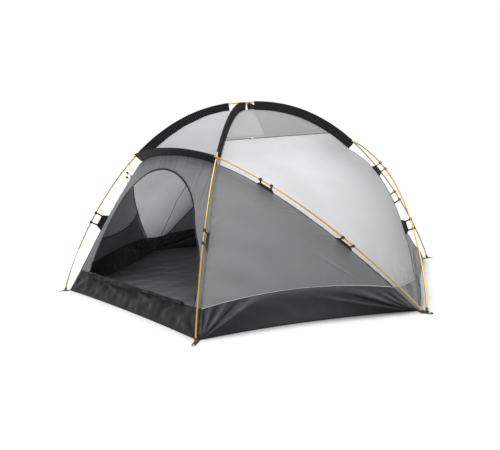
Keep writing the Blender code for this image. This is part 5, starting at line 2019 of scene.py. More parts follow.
@dataclass
class DoorWalls:
    """Door walls with their openings, zips, closed back door and rolled front door."""

    columns: int = 260
    rows: int = 40
    tooth: tuple[float, float, float] = (0.0036, 0.0014, 0.0016)
    tooth_pitch: float = 0.0026
    stitch: tuple[float, float, float] = (0.0006, 0.0045, 0.0005)
    roll_d: float = 0.038
    roll_thin: float = 0.34
    roll_pinch: float = 0.20
    pinch_at: float = 0.62
    pinch_spread: float = 0.12
    roll_lift: float = 0.002
    sewn: float = 0.0004
    roll_span: tuple[float, float] = (0.112, 0.888)
    roll_uneven: tuple[float, float, float] = (0.10, 0.07, 0.05)
    gather_pitch: float = 0.034
    gather_depth: float = 0.0026
    gather_from: float = 0.55
    # How dark the painted shade is in the gathers' dips and towards the wall's foot
    dip_painted_shade: float = 0.42
    foot_painted_shade: float = 0.30

    def wall(self) -> Cloth:
        """Front wall between its seams and the door, with gathers over the door.

        Returns:
            Its grid.
        """
        up = np.linspace(0, 1, 121)
        right = NET.leg(NET.high(up))
        border = np.concatenate((right, NET.top(up)[::-1][1:], (right * (-1, 1, 1))[::-1][1:]))
        border = resampled(border, np.linspace(0, 1, self.columns + 1))
        inner = DOOR.outline(0.0, 1601)
        middle = np.array((-0.03, 0.14))
        outer_angle = np.unwrap(np.arctan2(border[:, 2] - middle[1], border[:, 0] - middle[0]))
        inner_angle = np.unwrap(np.arctan2(inner[:, 1] - middle[1], inner[:, 0] - middle[0]))
        share = np.interp(outer_angle, inner_angle, np.linspace(0, 1, len(inner)))
        share = (share - share[0]) / (share[-1] - share[0])
        near = resampled(inner, share)
        v = np.linspace(0, 1, self.rows + 1)[:, None]
        x = near[None, :, 0] * (1 - v) + border[None, :, 0] * v
        z = near[None, :, 1] * (1 - v) + border[None, :, 2] * v
        # Both feet of the wall reach down to the tub's seam
        foot = np.exp(-(((z - z.min()) / 0.015) ** 2))
        z = z + np.clip(DOOR.sill(x) + self.sewn - z, -0.004, 0.0) * foot
        grid = DOOR.on_wall(x, z)
        grid[-1] = border
        cloth = Cloth(grid)
        top = np.clip((z - self.gather_from) / 0.2, 0, 1)
        cloth.puckers(cloth.from_top, x, pitch=0.021, depth=0.0030, reach=0.06, lean=0.0, seed=51)
        gathers = np.sin(2 * math.pi * (x / self.gather_pitch + 0.8 * wander(x / 0.25, 52)))
        cloth.relief = cloth.relief + self.gather_depth * top * cloth.fade * gathers
        cloth.puckers(
            cloth.from_bottom, cloth.across, pitch=0.022, depth=0.0010, reach=0.018, lean=0.3, seed=53
        )
        cloth.slack(depth=0.0022, size=0.16, seed=54)
        # Painted shade: a little over the whole wall, more in the gathers' dips near its top and towards its
        # foot
        dips = np.clip(-gathers, 0, 1) ** 2 * top * np.exp(-cloth.from_top / 0.16)
        low = np.clip((0.62 - z) / 0.42, 0, 1)
        cloth.painted_light = 0.05 + self.foot_painted_shade * low + self.dip_painted_shade * dips
        return cloth

    def tape(self) -> tuple[Cloth, Array, Array]:
        """Zip tape round the door, with the line of its teeth.

        Returns:
            Its grid, the line of its teeth and their outward directions.
        """
        edges = []
        for inset in np.linspace(POLES.fit, DOOR.zip_width - 0.0012, 4):
            line = DOOR.outline(float(inset), 401)
            edges.append(DOOR.on_wall(line[:, 0], line[:, 1]))
        cloth = Cloth(np.stack(edges))
        return cloth, edges[-1], cloth.normals[-1]

    def closed_door(self) -> Cloth:
        """Zipped door, a little slack in its frame.

        Returns:
            Its grid.
        """
        line = DOOR.outline(DOOR.zip_width + 0.0002, 801)
        peak = int(np.argmax(line[:, 1]))
        right, left = line[: peak + 1], line[peak:][::-1]
        rise = np.sin(np.linspace(0, math.pi / 2, 90)) * (line[peak, 1] - right[0, 1]) + right[0, 1]
        xr = np.interp(rise, right[:, 1], right[:, 0])
        xl = np.interp(rise, left[:, 1], left[:, 0])
        u = np.linspace(0, 1, 121)[None]
        x = xl[:, None] * (1 - u) + xr[:, None] * u
        share = ((rise - rise[0]) / (rise[-1] - rise[0]))[:, None]
        edge = DOOR.sill(xl)[:, None] * (1 - u) + DOOR.sill(xr)[:, None] * u
        z = rise[:, None] + (DOOR.sill(x) - edge) * (1 - share)
        # Its foot reaches down to the tub's seam
        z = z + (edge + self.sewn - rise[0]) * (1 - share) ** 12
        cloth = Cloth(DOOR.on_wall(x, z))
        cloth.slack(depth=0.004, size=0.2, seed=61)
        cloth.slack(depth=0.0015, size=0.06, seed=62)
        return cloth

    def rolled_door(self) -> Cloth:
        """Let-down door rolled up over the sill, thick at its left and gathered at one fold.

        Returns:
            Its grid.
        """
        share = np.linspace(0, 1, 150)
        first, last = self.roll_span
        s = first + (last - first) * share
        sill = NET.end_sill(s)
        down = unit(NET.end_edge(s) - sill)
        across = unit(np.gradient(sill, axis=0))
        out = np.cross(across, down)
        out = out * -np.sign(out[:, 1:2])
        pinch = bump(share, self.pinch_at, self.pinch_spread)
        radius = self.roll_d / 2 * (1 - self.roll_thin * share - self.roll_pinch * pinch)
        ends = np.clip(np.minimum(share, 1 - share) * 14, 0, 1) ** 0.5
        # Where the roll is thick it hangs lower, so that it clears the sill when it swings up and in
        lift = self.roll_lift - 1.1 * (radius - radius.min())
        core = sill + out * (radius + 0.0036)[:, None] - down * lift[:, None]
        height = np.interp(sill[:, 0], *self.heights())
        turns = height / (math.pi * radius * 1.15)
        v = np.linspace(0, 1, 210)
        angle = 2 * math.pi * turns[:, None] * v[None] + 1.2 + 5 * share[:, None]
        waves = (
            ruffle(share[:, None] * 9 + 0 * angle, np.cos(angle) * 0.5, 71),
            np.sin(3 * angle + 26 * share[:, None]),
            np.sin(2 * angle - 41 * share[:, None]),
        )
        uneven = 1 + sum(depth * wave for depth, wave in zip(self.roll_uneven, waves))
        spread = (0.12 + 0.88 * v[None]) * radius[:, None] * uneven * (0.72 + 0.28 * ends[:, None]) * 0.95
        points = core[:, None] + out[:, None] * (spread * np.cos(angle))[..., None]
        points = points + down[:, None] * (spread * np.sin(angle) * 1.05)[..., None]
        return Cloth(points)

    def heights(self) -> tuple[Array, Array]:
        """Places across the door and its height there."""
        line = DOOR.outline(DOOR.zip_width, 401)[::-1]
        return line[:, 0], line[:, 1] - line[0, 1] + 0.05

    def build(self) -> None:
        """Build, dress and settle walls, zips and doors."""
        wall = self.wall()
        tape, teeth, outs = self.tape()
        stitches = []
        for end, turn in (("front", (1, -1)), ("back", (-1, 1))):
            cloth = wall.mirrored(*turn)
            item = cloth_piece(f"{end}_wall_cloth", [cloth])
            FINISH.dress(item, "grey_polyester_taffeta")
            settle(item, "root", f"{end}_wall")
            item = cloth_piece(f"{end}_zip_tape", [tape.mirrored(*turn)], thickness=0.0008, raised=0.0003)
            FINISH.dress(item, "black_zip_tape")
            settle(item, "root", f"{end}_zip_track")
            path = to_quarter(teeth + outs * 0.0008, *turn)
            out = to_quarter(outs, *turn)
            REPEATS.lay(
                f"{end}_zip_teeth", [(path, out)], self.tooth_pitch, self.tooth, "black_moulded_nylon",
                uneven=0.02,
            )
            line = DOOR.outline(-0.0035, 401)
            edge = to_quarter(DOOR.on_wall(line[:, 0], line[:, 1]) + outs * 0.0014, *turn)
            stitches.append((edge, out))
        REPEATS.lay("door_stitches", stitches, 0.007, self.stitch, "polyester_thread", seed=8)
        cloth = self.closed_door().mirrored(-1, 1)
        item = cloth_piece("back_door_cloth", [cloth], thickness=0.0010, raised=0.0003)
        FINISH.dress(item, "grey_polyester_taffeta")
        settle(item, "back_door", "back_door")
        cloth = self.rolled_door()
        item = cloth_piece("front_door_roll", [cloth], thickness=0.0004, raised=0.0)
        FINISH.dress(item, "coated_floor_taffeta")
        settle(item, "front_door", "front_door")


@dataclass
class SleeveSet:
    """Black sleeves that hold the roof to the poles."""

    start: float = 0.035
    wall: float = 0.0012
    foot: float = 0.0026
    lift: float = 0.0016
    swell: float = 0.75
    leave: float = 0.28
    steps: int = 8
    columns: int = 170
    bore_facets: int = 8
    stitch: tuple[float, float, float] = (0.0006, 0.0050, 0.0006)

    def shell(self, pole: Array, seam: Array, side: Array, seed: int) -> Cloth:
        """Sleeve between a stretch of pole and its seam.

        Args:
            pole: Centre of the pole, one point a column.
            seam: Seam under it.
            side: Direction square to the pole's plane.
            seed: Seed of its slack.

        Returns:
            Grid from one sewn edge over the pole to the other.
        """
        down = unit(seam - pole)
        reach = np.linalg.norm(seam - pole, axis=1) - self.lift
        r = (POLES.pole_d / 2 + POLES.fit) / math.cos(math.pi / self.bore_facets) + self.wall
        half = self.foot / 2
        waist = (half + r * self.swell) / 2
        # Each flank runs between its sewn edge and the place where the cloth leaves the pole
        t = np.linspace(1, self.leave, 9)
        bend = 4 * (t - self.leave) * (1 - t) / 0.52
        flank = half + (r * 0.92 - half) * (1 - t) / 0.72 + (waist - half - r * 0.2) * 0.2 * bend
        angle = np.radians(np.arange(50, 311, 20))
        round_pole = np.broadcast_to((r * np.cos(angle))[:, None], (len(angle), len(reach)))
        depth = np.concatenate((reach * t[:, None], round_pole, reach * t[::-1, None]))
        width = np.concatenate((flank, r * np.sin(angle), -flank[::-1]))
        rows = pole[None] + down[None] * depth[..., None] + side * width[:, None, None]
        cloth = Cloth(rows)
        flank = np.clip(depth / reach[None], 0, 1)
        along = cloth.across
        ripple = np.sin(2 * math.pi * (along / 0.055 + 0.9 * flank + 0.8 * wander(along / 0.4, seed)))
        cloth.relief = 0.0011 * ripple * np.sin(math.pi * flank) * (0.5 + 0.5 * wander(along / 0.3, seed + 1))
        return cloth

    @staticmethod
    def normals_out(cloth: Cloth, pole: Array) -> Cloth:
        """Make a shell's outside face away from its pole.

        Args:
            cloth: The shell.
            pole: Centre of the pole.

        Returns:
            The same shell.
        """
        middle = cloth.rows.shape[0] // 2
        away = cloth.rows[middle] - pole
        if np.sum(cloth.normals[middle] * away) < 0:
            cloth.normals = -cloth.normals
        return cloth

    def build(self) -> None:
        """Build, dress and settle the six sleeves."""
        first_step = POLES.cross_r - float(NET.roof_reach(np.array((1 / self.steps,)))[0])
        last_step = float(NET.roof_reach(np.array((1 - 1 / self.steps,)))[0])
        quarters = (
            ("front_left", -1, -1, False, 0.130),
            ("front_right", 1, -1, True, 0.035),
            ("back_left", -1, 1, True, 0.050),
            ("back_right", 1, 1, False, 0.060),
        )
        stitches = []
        for number, (name, sx, sy, under, bare) in enumerate(quarters):
            first = self.start / first_step / self.steps
            last = 1 - bare / last_step / self.steps
            s = np.linspace(first, last, self.columns)
            pole = to_quarter(POLES.diagonal_pole(NET.roof_reach(s), under), sx, sy)
            seam = to_quarter(NET.roof(s), sx, sy)
            side = to_quarter(POLES.diagonal_normal, sx, sy)
            rest = "upper_diagonal_pole_tube" if not under else "lower_diagonal_pole_tube"
            self.finish(f"{name}_diagonal_sleeve", pole, seam, side, number, rest, stitches)
        top = NET.top_reach(np.array((0.0, 1 / self.steps)))
        first = self.start / float(top[1] - top[0]) / self.steps
        for number, (end, sy) in enumerate(ENDS):
            s = np.linspace(first, 1 - first * (0.35 if sy < 0 else 1), self.columns)
            pole = to_quarter(POLES.arch_pole(NET.top_reach(s)), 1, sy)
            seam = to_quarter(NET.top(s), 1, sy)
            side = to_quarter(POLES.arch_normal, 1, sy)
            rest = f"{end}_arch_pole_tube"
            self.finish(f"{end}_arch_sleeve", pole, seam, side, 10 + number, rest, stitches)
        REPEATS.lay(
            "sleeve_stitches", stitches, 0.008, self.stitch, "polyester_thread", seed=3
        )

    def finish(
        self,
        node: str,
        pole: Array,
        seam: Array,
        side: Array,
        number: int,
        rest: str,
        stitches: list[tuple[Array, Array]],
    ) -> None:
        """Build one sleeve in the place of its node and note its rows of stitches.

        Args:
            node: The node.
            pole: Centre of the pole, one point a column.
            seam: Seam under it.
            side: Direction square to the pole's plane.
            number: Number of the sleeve, which seeds its slack.
            rest: Piece that carries it.
            stitches: Rows of stitches, to which its own are added.
        """
        cloth = self.normals_out(self.shell(pole, seam, side, 100 + number), pole)
        points = cloth.points()
        faces = grid_faces(*points.shape[:2])
        item = build_object(f"{node}_cloth", points.reshape(-1, 3), faces, cloth.flat.reshape(-1, 2))
        weld(item, outwards=False)
        bm = bmesh.new()
        bm.from_mesh(item.data)
        bm.faces.ensure_lookup_table()
        middle = Vector(pole[len(pole) // 2])
        face = min(bm.faces, key=lambda f: (f.calc_center_median() - middle).length)
        if face.normal.dot(face.calc_center_median() - middle) < 0:
            bmesh.ops.reverse_faces(bm, faces=bm.faces)
        bm.to_mesh(item.data)
        bm.free()
        thicken(item, thickness=0.0009, offset=-1.0)
        FINISH.dress(item, "black_sleeve_ripstop")
        settle(item, "root", node)
        down = unit(seam - pole)
        for way, row in ((1, 1), (-1, -2)):
            face = side * way
            line = cloth.rows[row] + face * 0.0004 - down * 0.002
            stitches.append((line, np.broadcast_to(face, pole.shape)))


@dataclass
class ClipTab:
    """Web of doubled cloth with two snap clips that hook on a pole."""

    spread: float = 0.077
    base: float = 0.128
    cloth: float = 0.0016
    strap: float = 0.0080
    waist: float = 0.52
    clip_length: float = 0.017
    clip_wall: float = 0.0046
    mouth: float = math.radians(80)
    bore_facets: int = 8
    height: float = 0.062

    @property
    def bore(self) -> float:
        """Radius of a clip's inside."""
        return (POLES.pole_d / 2 + POLES.fit) / math.cos(math.pi / self.bore_facets)

    def profile(self) -> tuple[Array, Array]:
        """Outline of the web over its half widths.

        Returns:
            Places from -1 to 1 and heights, from 0 at the seam to 1 at the clips.
        """
        near, far = ((self.spread + way * self.strap) / self.base for way in (-1, 1))
        edge, rest = 0.012, self.waist
        t = np.array((0, 0.2, 0.4, near - 6 * edge, near - edge, near, (near + far) / 2, far, far + edge, 1))
        rise = np.array((rest, rest, rest, rest, rest + 0.06, 1, 1, 1, rest, 0.02))
        places = np.unique(np.concatenate((even(60), t)))
        heights = np.interp(places, t, rise)
        return np.concatenate((-places[:0:-1], places)), np.concatenate((heights[:0:-1], heights))

    def build(
        self, node: str, pole: Curve, seam: Curve, s: float, side: Array, place: tuple[int, int]
    ) -> tuple[Object, Object, float]:
        """Build one tab in the +X -Y quarter and carry it to its place.

        Args:
            node: Node that it stands for.
            pole: Pole's curve over the shares of the leg or limb.
            seam: Seam's curve over the same shares.
            s: Share where the tab sits.
            side: Direction square to the pole's plane.
            place: Signs of the quarter.

        Returns:
            The cloth web, the clips and the area of the web.
        """
        near = np.array((s - 0.002, s + 0.002))
        step = np.linalg.norm(np.diff(pole(near), axis=0)) / 0.004
        t, rise = self.profile()
        shares = s + t * self.base / 2 / step
        top, low = pole(shares), seam(shares)
        up = unit(top - low)
        height = np.linalg.norm(top - low, axis=1) - self.bore - self.clip_wall / 2 - 0.0016
        v = np.linspace(0, 1, 15)[:, None, None]
        reach = (height * rise)[None, :, None]
        grid = (low + up * 0.0016)[None] + up[None] * reach * v
        swell = np.sin(math.pi * (t + 1) / 2)[None, :, None] * np.sin(math.pi * v)
        grid = grid + side * 0.0022 * swell * np.sin(2.2 * math.pi * t)[None, :, None]
        points = to_quarter(grid, *place)
        flat = np.stack(np.broadcast_arrays(t[None] * self.base / 2, v[..., 0] * 0.05), axis=-1)
        web = build_object(f"{node}_web", points.reshape(-1, 3), grid_faces(15, len(t)), flat.reshape(-1, 2))
        weld(web, outwards=False)
        thicken(web, self.cloth, offset=0.0)
        clips = []
        for way in (-1, 1):
            share = np.array((s + way * self.spread / 2 / step,))
            centre, foot = pole(share)[0], seam(share)[0]
            ahead = unit(pole(share + 0.002)[0] - pole(share - 0.002)[0])
            down = foot - centre
            down = unit(down - ahead * (down @ ahead))
            clips.append(self.clip(centre, ahead, down, np.cross(down, ahead), place))
        return web, joined(f"{node}_clips", clips), Cloth(grid).area

    def clip(self, pole: Array, along: Array, down: Array, across: Array, place: tuple[int, int]) -> Object:
        """Snap clip round the pole, open on one side, with square edges broken.

        Args:
            pole: Centre of the pole.
            along: Direction of the pole.
            down: Direction to the seam.
            across: Direction square to both.
            place: Signs of the quarter.

        Returns:
            The clip.
        """
        steps = 20
        angle = math.pi / 2 + self.mouth / 2 + (2 * math.pi - self.mouth) * np.linspace(0, 1, steps)
        way = down * np.cos(angle)[:, None] + across * np.sin(angle)[:, None]
        wall = self.clip_wall * (0.75 + 0.25 * np.sin(np.linspace(0, math.pi, steps)))
        outer = pole + way * (self.bore + wall)[:, None]
        inner = pole + way * self.bore
        outline = np.concatenate((outer, inner[::-1]))
        bm = bmesh.new()
        ends = to_quarter(outline - along * self.clip_length / 2, *place)
        bm.faces.new([bm.verts.new(p) for p in ends])
        push_out(bm, Vector(to_quarter(along * self.clip_length, *place)), sharp=0.9, bevel=0.0005)
        mesh = bpy.data.meshes.new("clip")
        bm.to_mesh(mesh)
        bm.free()
        return add_object("clip", mesh)


@dataclass
class TabSet:
    """The twelve clip tabs of the legs and limbs."""

    leg_r: float = 1.167
    limb_x: tuple[float, float] = (0.778, 1.168)

    @staticmethod
    def share_at(reach: Curve, value: float) -> float:
        """Share at which a falling reach passes a value."""
        s = np.linspace(0, 1, 2001)
        return float(np.interp(value, reach(s)[::-1], s[::-1]))

    @staticmethod
    def leg_pole(under: bool, s: Array) -> Array:
        """Centre of the pole over a leg, at shares of the leg."""
        return POLES.diagonal_pole(NET.leg_reach(s), under)

    @staticmethod
    def limb_pole(s: Array) -> Array:
        """Centre of the pole over a limb, at shares of the limb."""
        return POLES.arch_pole(NET.limb_reach(s))

    def build(self) -> None:
        """Build, dress and settle all tabs."""
        tab = ClipTab()
        for (end, sy), (side, sx) in product(ENDS, SIDES):
            leg = partial(self.leg_pole, sx == -sy)
            s = self.share_at(NET.leg_reach, self.leg_r)
            made = {f"{end}_{side}_leg_tab": (leg, NET.leg, s, POLES.diagonal_normal)}
            for label, x in zip(("upper", "lower"), self.limb_x):
                s = self.share_at(NET.limb_reach, x)
                made[f"{end}_{side}_{label}_limb_tab"] = (self.limb_pole, NET.limb, s, POLES.arch_normal)
            for node, (pole, seam, s, square) in made.items():
                web, clips, area = tab.build(node, pole, seam, s, square, (sx, sy))
                FINISH.dress(web, "black_webbing")
                area = max(area, LEAST_FILL * tab.base * tab.height)
                settle(web, "root", node)
                FINISH.dress(clips, "black_moulded_nylon")
                settle(clips, "root", node)


def revolve(
    name: str, base: Array, axis: Array, profile: Sequence[tuple[float, float]], sides: int = 24
) -> Object:
    """Make a turned piece.

    Args:
        name: Name of the piece.
        base: Start of its axis.
        axis: Direction of its axis.
        profile: Distances along the axis and radii, from the foot over the rim to the bore's floor.
        sides: Points round it.

    Returns:
        The new object.
    """
    side = unit(np.cross(axis, (0.3, 0.9, 0.1)))
    other = np.cross(axis, side)
    circle = ring(sides)
    rings = [base + axis * z + (side * circle[:, :1] + other * circle[:, 1:]) * r for z, r in profile]
    points = np.concatenate(rings)
    item = build_object(name, points, tube_faces(len(rings), sides), points[:, :2])
    weld(item, outwards=False)
    return item


@dataclass
class CornerStraps:
    """Six webbing straps with a pole socket and a peg eye each, on the ground."""

    width: float = 0.025
    thickness: float = 0.002
    reach: float = 0.046
    eye_d: float = 0.014
    socket_d: float = 0.017
    socket_height: float = 0.026
    start: float = 0.0019
    stitch: tuple[float, float, float] = (0.0008, 0.0032, 0.0006)

    def plate(self, name: str, inner: Array, tip: Array, width: float) -> tuple[Object, Array, Array]:
        """Strap from the floor corner out past the pole, with a round end and an eye.

        Args:
            name: Name of the piece.
            inner: Corner of the floor.
            tip: Foot of the pole.
            width: Width of the strap.

        Returns:
            The strap, the middle of its eye and its direction.
        """
        along = unit((tip - inner) * (1, 1, 0))
        across = np.array((-along[1], along[0], 0.0))
        start = inner * (1, 1, 0) + along * self.start
        end = tip * (1, 1, 0) + along * (self.reach - width / 2)
        angle = np.linspace(-math.pi / 2, math.pi / 2, 17)
        rim = end + (along * np.cos(angle)[:, None] + across * np.sin(angle)[:, None]) * width / 2
        outline = np.concatenate(([start + across * width / 2, start - across * width / 2], rim))
        turn = np.linspace(0, 2 * math.pi, 24, endpoint=False)
        hole = end + (along * np.cos(turn)[:, None] + across * np.sin(turn)[:, None]) * self.eye_d / 2
        bm = bmesh.new()
        edges = []
        for loop in (outline, hole):
            verts = [bm.verts.new(p + UP * 0.0002) for p in loop]
            edges += [bm.edges.new((a, b)) for a, b in zip(verts, verts[1:] + verts[:1])]
        bmesh.ops.triangle_fill(bm, use_beauty=True, use_dissolve=False, edges=edges)
        push_out(bm, Vector((0, 0, self.thickness - 0.0004)), sharp=1.2, bevel=0.0004)
        bm.verts.ensure_lookup_table()
        points = np.array([v.co for v in bm.verts])
        faces = [[v.index for v in f.verts] for f in bm.faces]
        bm.free()
        item = build_object(name, points, faces, np.stack((points @ across, points @ along), axis=-1))
        item.data.shade_flat()
        return item, end, along

    def boot(self, name: str, foot: Array, along: Array) -> Object:
        """Moulded socket round a pole's end, with a rolled rim and a flared foot.

        Args:
            name: Name of the piece.
            foot: Foot of the pole.
            along: Direction of the pole.

        Returns:
            The socket.
        """
        r = self.socket_d / 2
        bore = POLES.pole_d / 2 + 0.0007
        low = self.thickness / along[2]
        top = self.socket_height
        profile = (
            (low, r + 0.0010),
            (low + 0.0015, r + 0.0010),
            (low + 0.0035, r),
            (top - 0.0035, r - 0.0006),
            (top - 0.0025, r),
            (top - 0.0006, r),
            (top, r - 0.0008),
            (top, bore + 0.0006),
            (top - 0.0008, bore),
            (low + 0.006, bore),
        )
        item = revolve(name, foot, along, profile)
        for vert in item.data.vertices:
            vert.co.z = max(vert.co.z, 0.0004)
        return item

    def grommet(self, name: str, eye: Array) -> Object:
        """Rolled metal ring round a peg eye.

        Args:
            name: Name of the piece.
            eye: Middle of the eye.

        Returns:
            The ring.
        """
        r = self.eye_d / 2
        outside = ((0.0001, r + 0.0024), (0.0022, r + 0.0024), (0.0027, r + 0.0014))
        inside = ((0.0026, r + 0.0003), (0.0018, r - 0.0006), (0.0002, r - 0.0006))
        item = revolve(name, eye, UP, outside + inside, sides=32)
        bm = bmesh.new()
        bm.from_mesh(item.data)
        caps = [f for f in bm.faces if len(f.verts) > 4]
        bmesh.ops.delete(bm, geom=caps, context="FACES_ONLY")
        bmesh.ops.bridge_loops(bm, edges=[e for e in bm.edges if e.is_boundary])
        bmesh.ops.recalc_face_normals(bm, faces=bm.faces)
        bm.to_mesh(item.data)
        bm.free()
        return item

    def places(self) -> list[tuple[str, Array, list[tuple[Array, Array]], float]]:
        """Node, floor corner, pole ends and width of each strap.

        Returns:
            The six straps; a pole's end is its foot and a point above it.
        """
        found = []
        near = np.array((0.0, 0.1))
        leg, limb = POLES.diagonal(NET.leg_reach(near)), POLES.arch(NET.limb_reach(near))
        for (end, sy), (side, sx) in product(ENDS, SIDES):
            feet = [tuple(to_quarter(leg, sx, sy))]
            found.append((f"{end}_{side}_corner_strap", to_quarter(NET.corner, sx, sy), feet, self.width))
        for side, sx in SIDES:
            feet = [tuple(to_quarter(limb, sx, sy)) for _, sy in ENDS]
            corner = to_quarter(NET.side, sx, -1)
            found.append((f"{side}_corner_strap", corner, feet, 2 * POLES.side_spread + self.socket_d))
        return found

    def build(self) -> None:
        """Build, dress and settle the straps, sockets, grommets and stitches."""
        boxes = []
        for node, inner, feet, width in self.places():
            middle = np.mean([foot for foot, _ in feet], axis=0)
            strap, eye, along = self.plate(f"{node}_webbing", inner, middle, width)
            boots = [self.boot("boot", foot, unit(following - foot)) for foot, following in feet]
            for item, finish, slot in (
                (strap, "black_webbing", "webbing"),
                (joined(f"{node}_socket", boots), "grey_moulded_boot", "webbing"),
                (self.grommet(f"{node}_grommet", eye), "plain_aluminium_pin", "zip_metal"),
            ):
                FINISH.dress(item, finish)
                settle(item, "root", node)
            across = np.array((-along[1], along[0], 0.0))
            first = inner * (1, 1, 0) + along * 0.006 + UP * (self.thickness + 0.0001)
            for offset in (-width / 2 + 0.003, width / 2 - 0.003):
                line = [first + across * offset + along * k * 0.004 for k in range(5)]
                boxes.append((np.stack(line), UP))
        REPEATS.lay("strap_stitches", boxes, 0.0045, self.stitch, "polyester_thread", seed=4)


@dataclass
class InnerPieces:
    """Pockets inside two grey triangles and the bunched flaps of the vents."""

    pocket_columns: tuple[float, float] = (0.05, 0.95)
    pocket_low: float = 0.19
    pocket_hollow: float = 0.50
    flap_columns: tuple[float, float] = (0.625, 0.875)

    @staticmethod
    def part(rows: Array, columns: tuple[float, float]) -> Array:
        """Part of a grid between shares of its columns."""
        first, last = (round(x * (rows.shape[1] - 1)) for x in columns)
        return rows[:, first : last + 1]

    def pocket(self, net: SeamNet) -> Array:
        """Part of a grey triangle that a pocket covers, up to its hollow top edge.

        Args:
            net: Net of its half of the tent.

        Returns:
            Rows of points from the bottom up.
        """
        rows = self.part(net.lower_panel(160, 120), self.pocket_columns)
        across = np.linspace(*self.pocket_columns, rows.shape[1])
        return self.trimmed(rows, self.pocket_low + self.pocket_hollow * (across - 0.45) ** 2)

    def flap(self) -> Array:
        """Part of a vent that a bunched flap covers, up to its uneven top edge.

        Returns:
            Rows of points from the bottom up.
        """
        rows = self.part(NET.vent(90, 160), self.flap_columns)
        across = np.linspace(0, 1, rows.shape[1])
        mound = 0.10 + 0.16 * bump(across, 0.42, 0.13) + 0.13 * bump(across, 0.70, 0.15)
        return self.trimmed(rows, mound * np.clip(np.minimum(across, 1 - across) / 0.12, 0.15, 1))

    @staticmethod
    def trimmed(rows: Array, top: Array) -> Array:
        """Cut a grid off along an uneven top edge.

        Args:
            rows: Grid from its bottom edge upwards.
            top: Height of the cut at each column, as a share of the grid.

        Returns:
            Grid between the bottom edge and the cut.
        """
        share = np.linspace(0, 1, 50)
        levels = np.linspace(0, 1, rows.shape[0])
        columns = [
            np.stack([np.interp(share * top[i], levels, rows[:, i, k]) for k in range(3)], axis=-1)
            for i in range(rows.shape[1])
        ]
        return np.stack(columns, axis=1)

    def build(self) -> None:
        """Build, dress and settle pockets and flaps."""
        for node, place in (("front_left_pocket", (-1, -1)), ("back_right_pocket", (1, 1))):
            cloth = Cloth(self.pocket(net_of(place[1])))
            sag = np.sin(math.pi * cloth.u) * cloth.v**2
            cloth.relief = -0.0050 - 0.004 * sag
            cloth.relief = cloth.relief - 0.0012 * np.sin(cloth.across / 0.018) ** 2 * cloth.v
            cloth = cloth.mirrored(*place)
            item = cloth_piece(f"{node}_net", [cloth], thickness=0.0008, raised=-0.0008)
            FINISH.dress(item, "dark_pocket_cloth")
            settle(item, "root", node)
            top = cloth.points()[-1]
            out = cloth.normals[-1]
            hem = ribbon(f"{node}_hem", top - out * 0.0006, out, width=0.012, thickness=0.0022)
            FINISH.dress(hem, "black_seam_tape")
            settle(hem, "root", node)
        vent = self.flap()
        for side, place in (("right", (1, -1)), ("left", (-1, 1))):
            cloth = Cloth(vent)
            crowd = np.abs(np.sin(cloth.across / 0.021 + 2.0 * cloth.v + wander(cloth.across / 0.1, 91)))
            arch = np.sin(math.pi * np.clip(cloth.u, 0.02, 0.98)) ** 0.7
            rise = np.sin(math.pi * (0.12 + 0.8 * cloth.v))
            cloth.relief = -0.0012 - 0.0095 * arch * (0.35 + 0.65 * crowd) * rise
            cloth = cloth.mirrored(*place)
            item = cloth_piece(f"{side}_vent_flap_cloth", [cloth], thickness=0.0008, raised=-0.0008)
            FINISH.dress(item, "dark_flap_cloth")
            settle(item, "root", f"{side}_vent_flap")


@dataclass
class VentZips:
    """Zips under the vents, on which a toggle runs."""

    width: float = 0.008
    overlap: float = 0.0014
    tooth: tuple[float, float, float] = (0.0030, 0.0014, 0.0014)
    tooth_pitch: float = 0.0026

    def build(self) -> None:
        """Build, dress and settle both zips."""
        below = NET.side_kite(160, 120)
        edge, down = below[-1], unit(below[-3] - below[-1])
        for side, sx in SIDES:
            rows = [edge + down * depth for depth in np.linspace(-self.overlap, self.width + self.overlap, 5)]
            cloth = Cloth(to_quarter(np.stack(rows), sx, -1))
            item = cloth_piece(f"{side}_vent_zip_tape", [cloth], thickness=0.0009, raised=-0.0010)
            FINISH.dress(item, "black_zip_tape")
            settle(item, "root", f"{side}_vent_zip")
            out = cloth.normals[2]
            line = (cloth.rows[2] + out * 0.0006, out)
            REPEATS.lay(
                f"{side}_vent_zip_teeth", [line], self.tooth_pitch, self.tooth, "black_moulded_nylon",
                uneven=0.02,
            )


class Hardware:
    """CAD solids of sliders, pulls and toggles, kept and given their finishes."""

    def build(self) -> None:
        """Dress the kept nodes."""
        for name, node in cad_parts.items():
            if name.endswith(("_zip_slider", "_zip_pull")):
                FINISH.dress(node, "black_moulded_nylon")
            elif name.endswith("_vent_slider"):
                FINISH.dress(node, "white_moulded_toggle")


@dataclass(frozen=True)
class Light:
    """Soft light; a sun's size is its angle in degrees, an area light's its side in metres."""

    name: str
    kind: str
    place: tuple[float, float, float]
    aim: tuple[float, float, float]
    size: float
    power: float


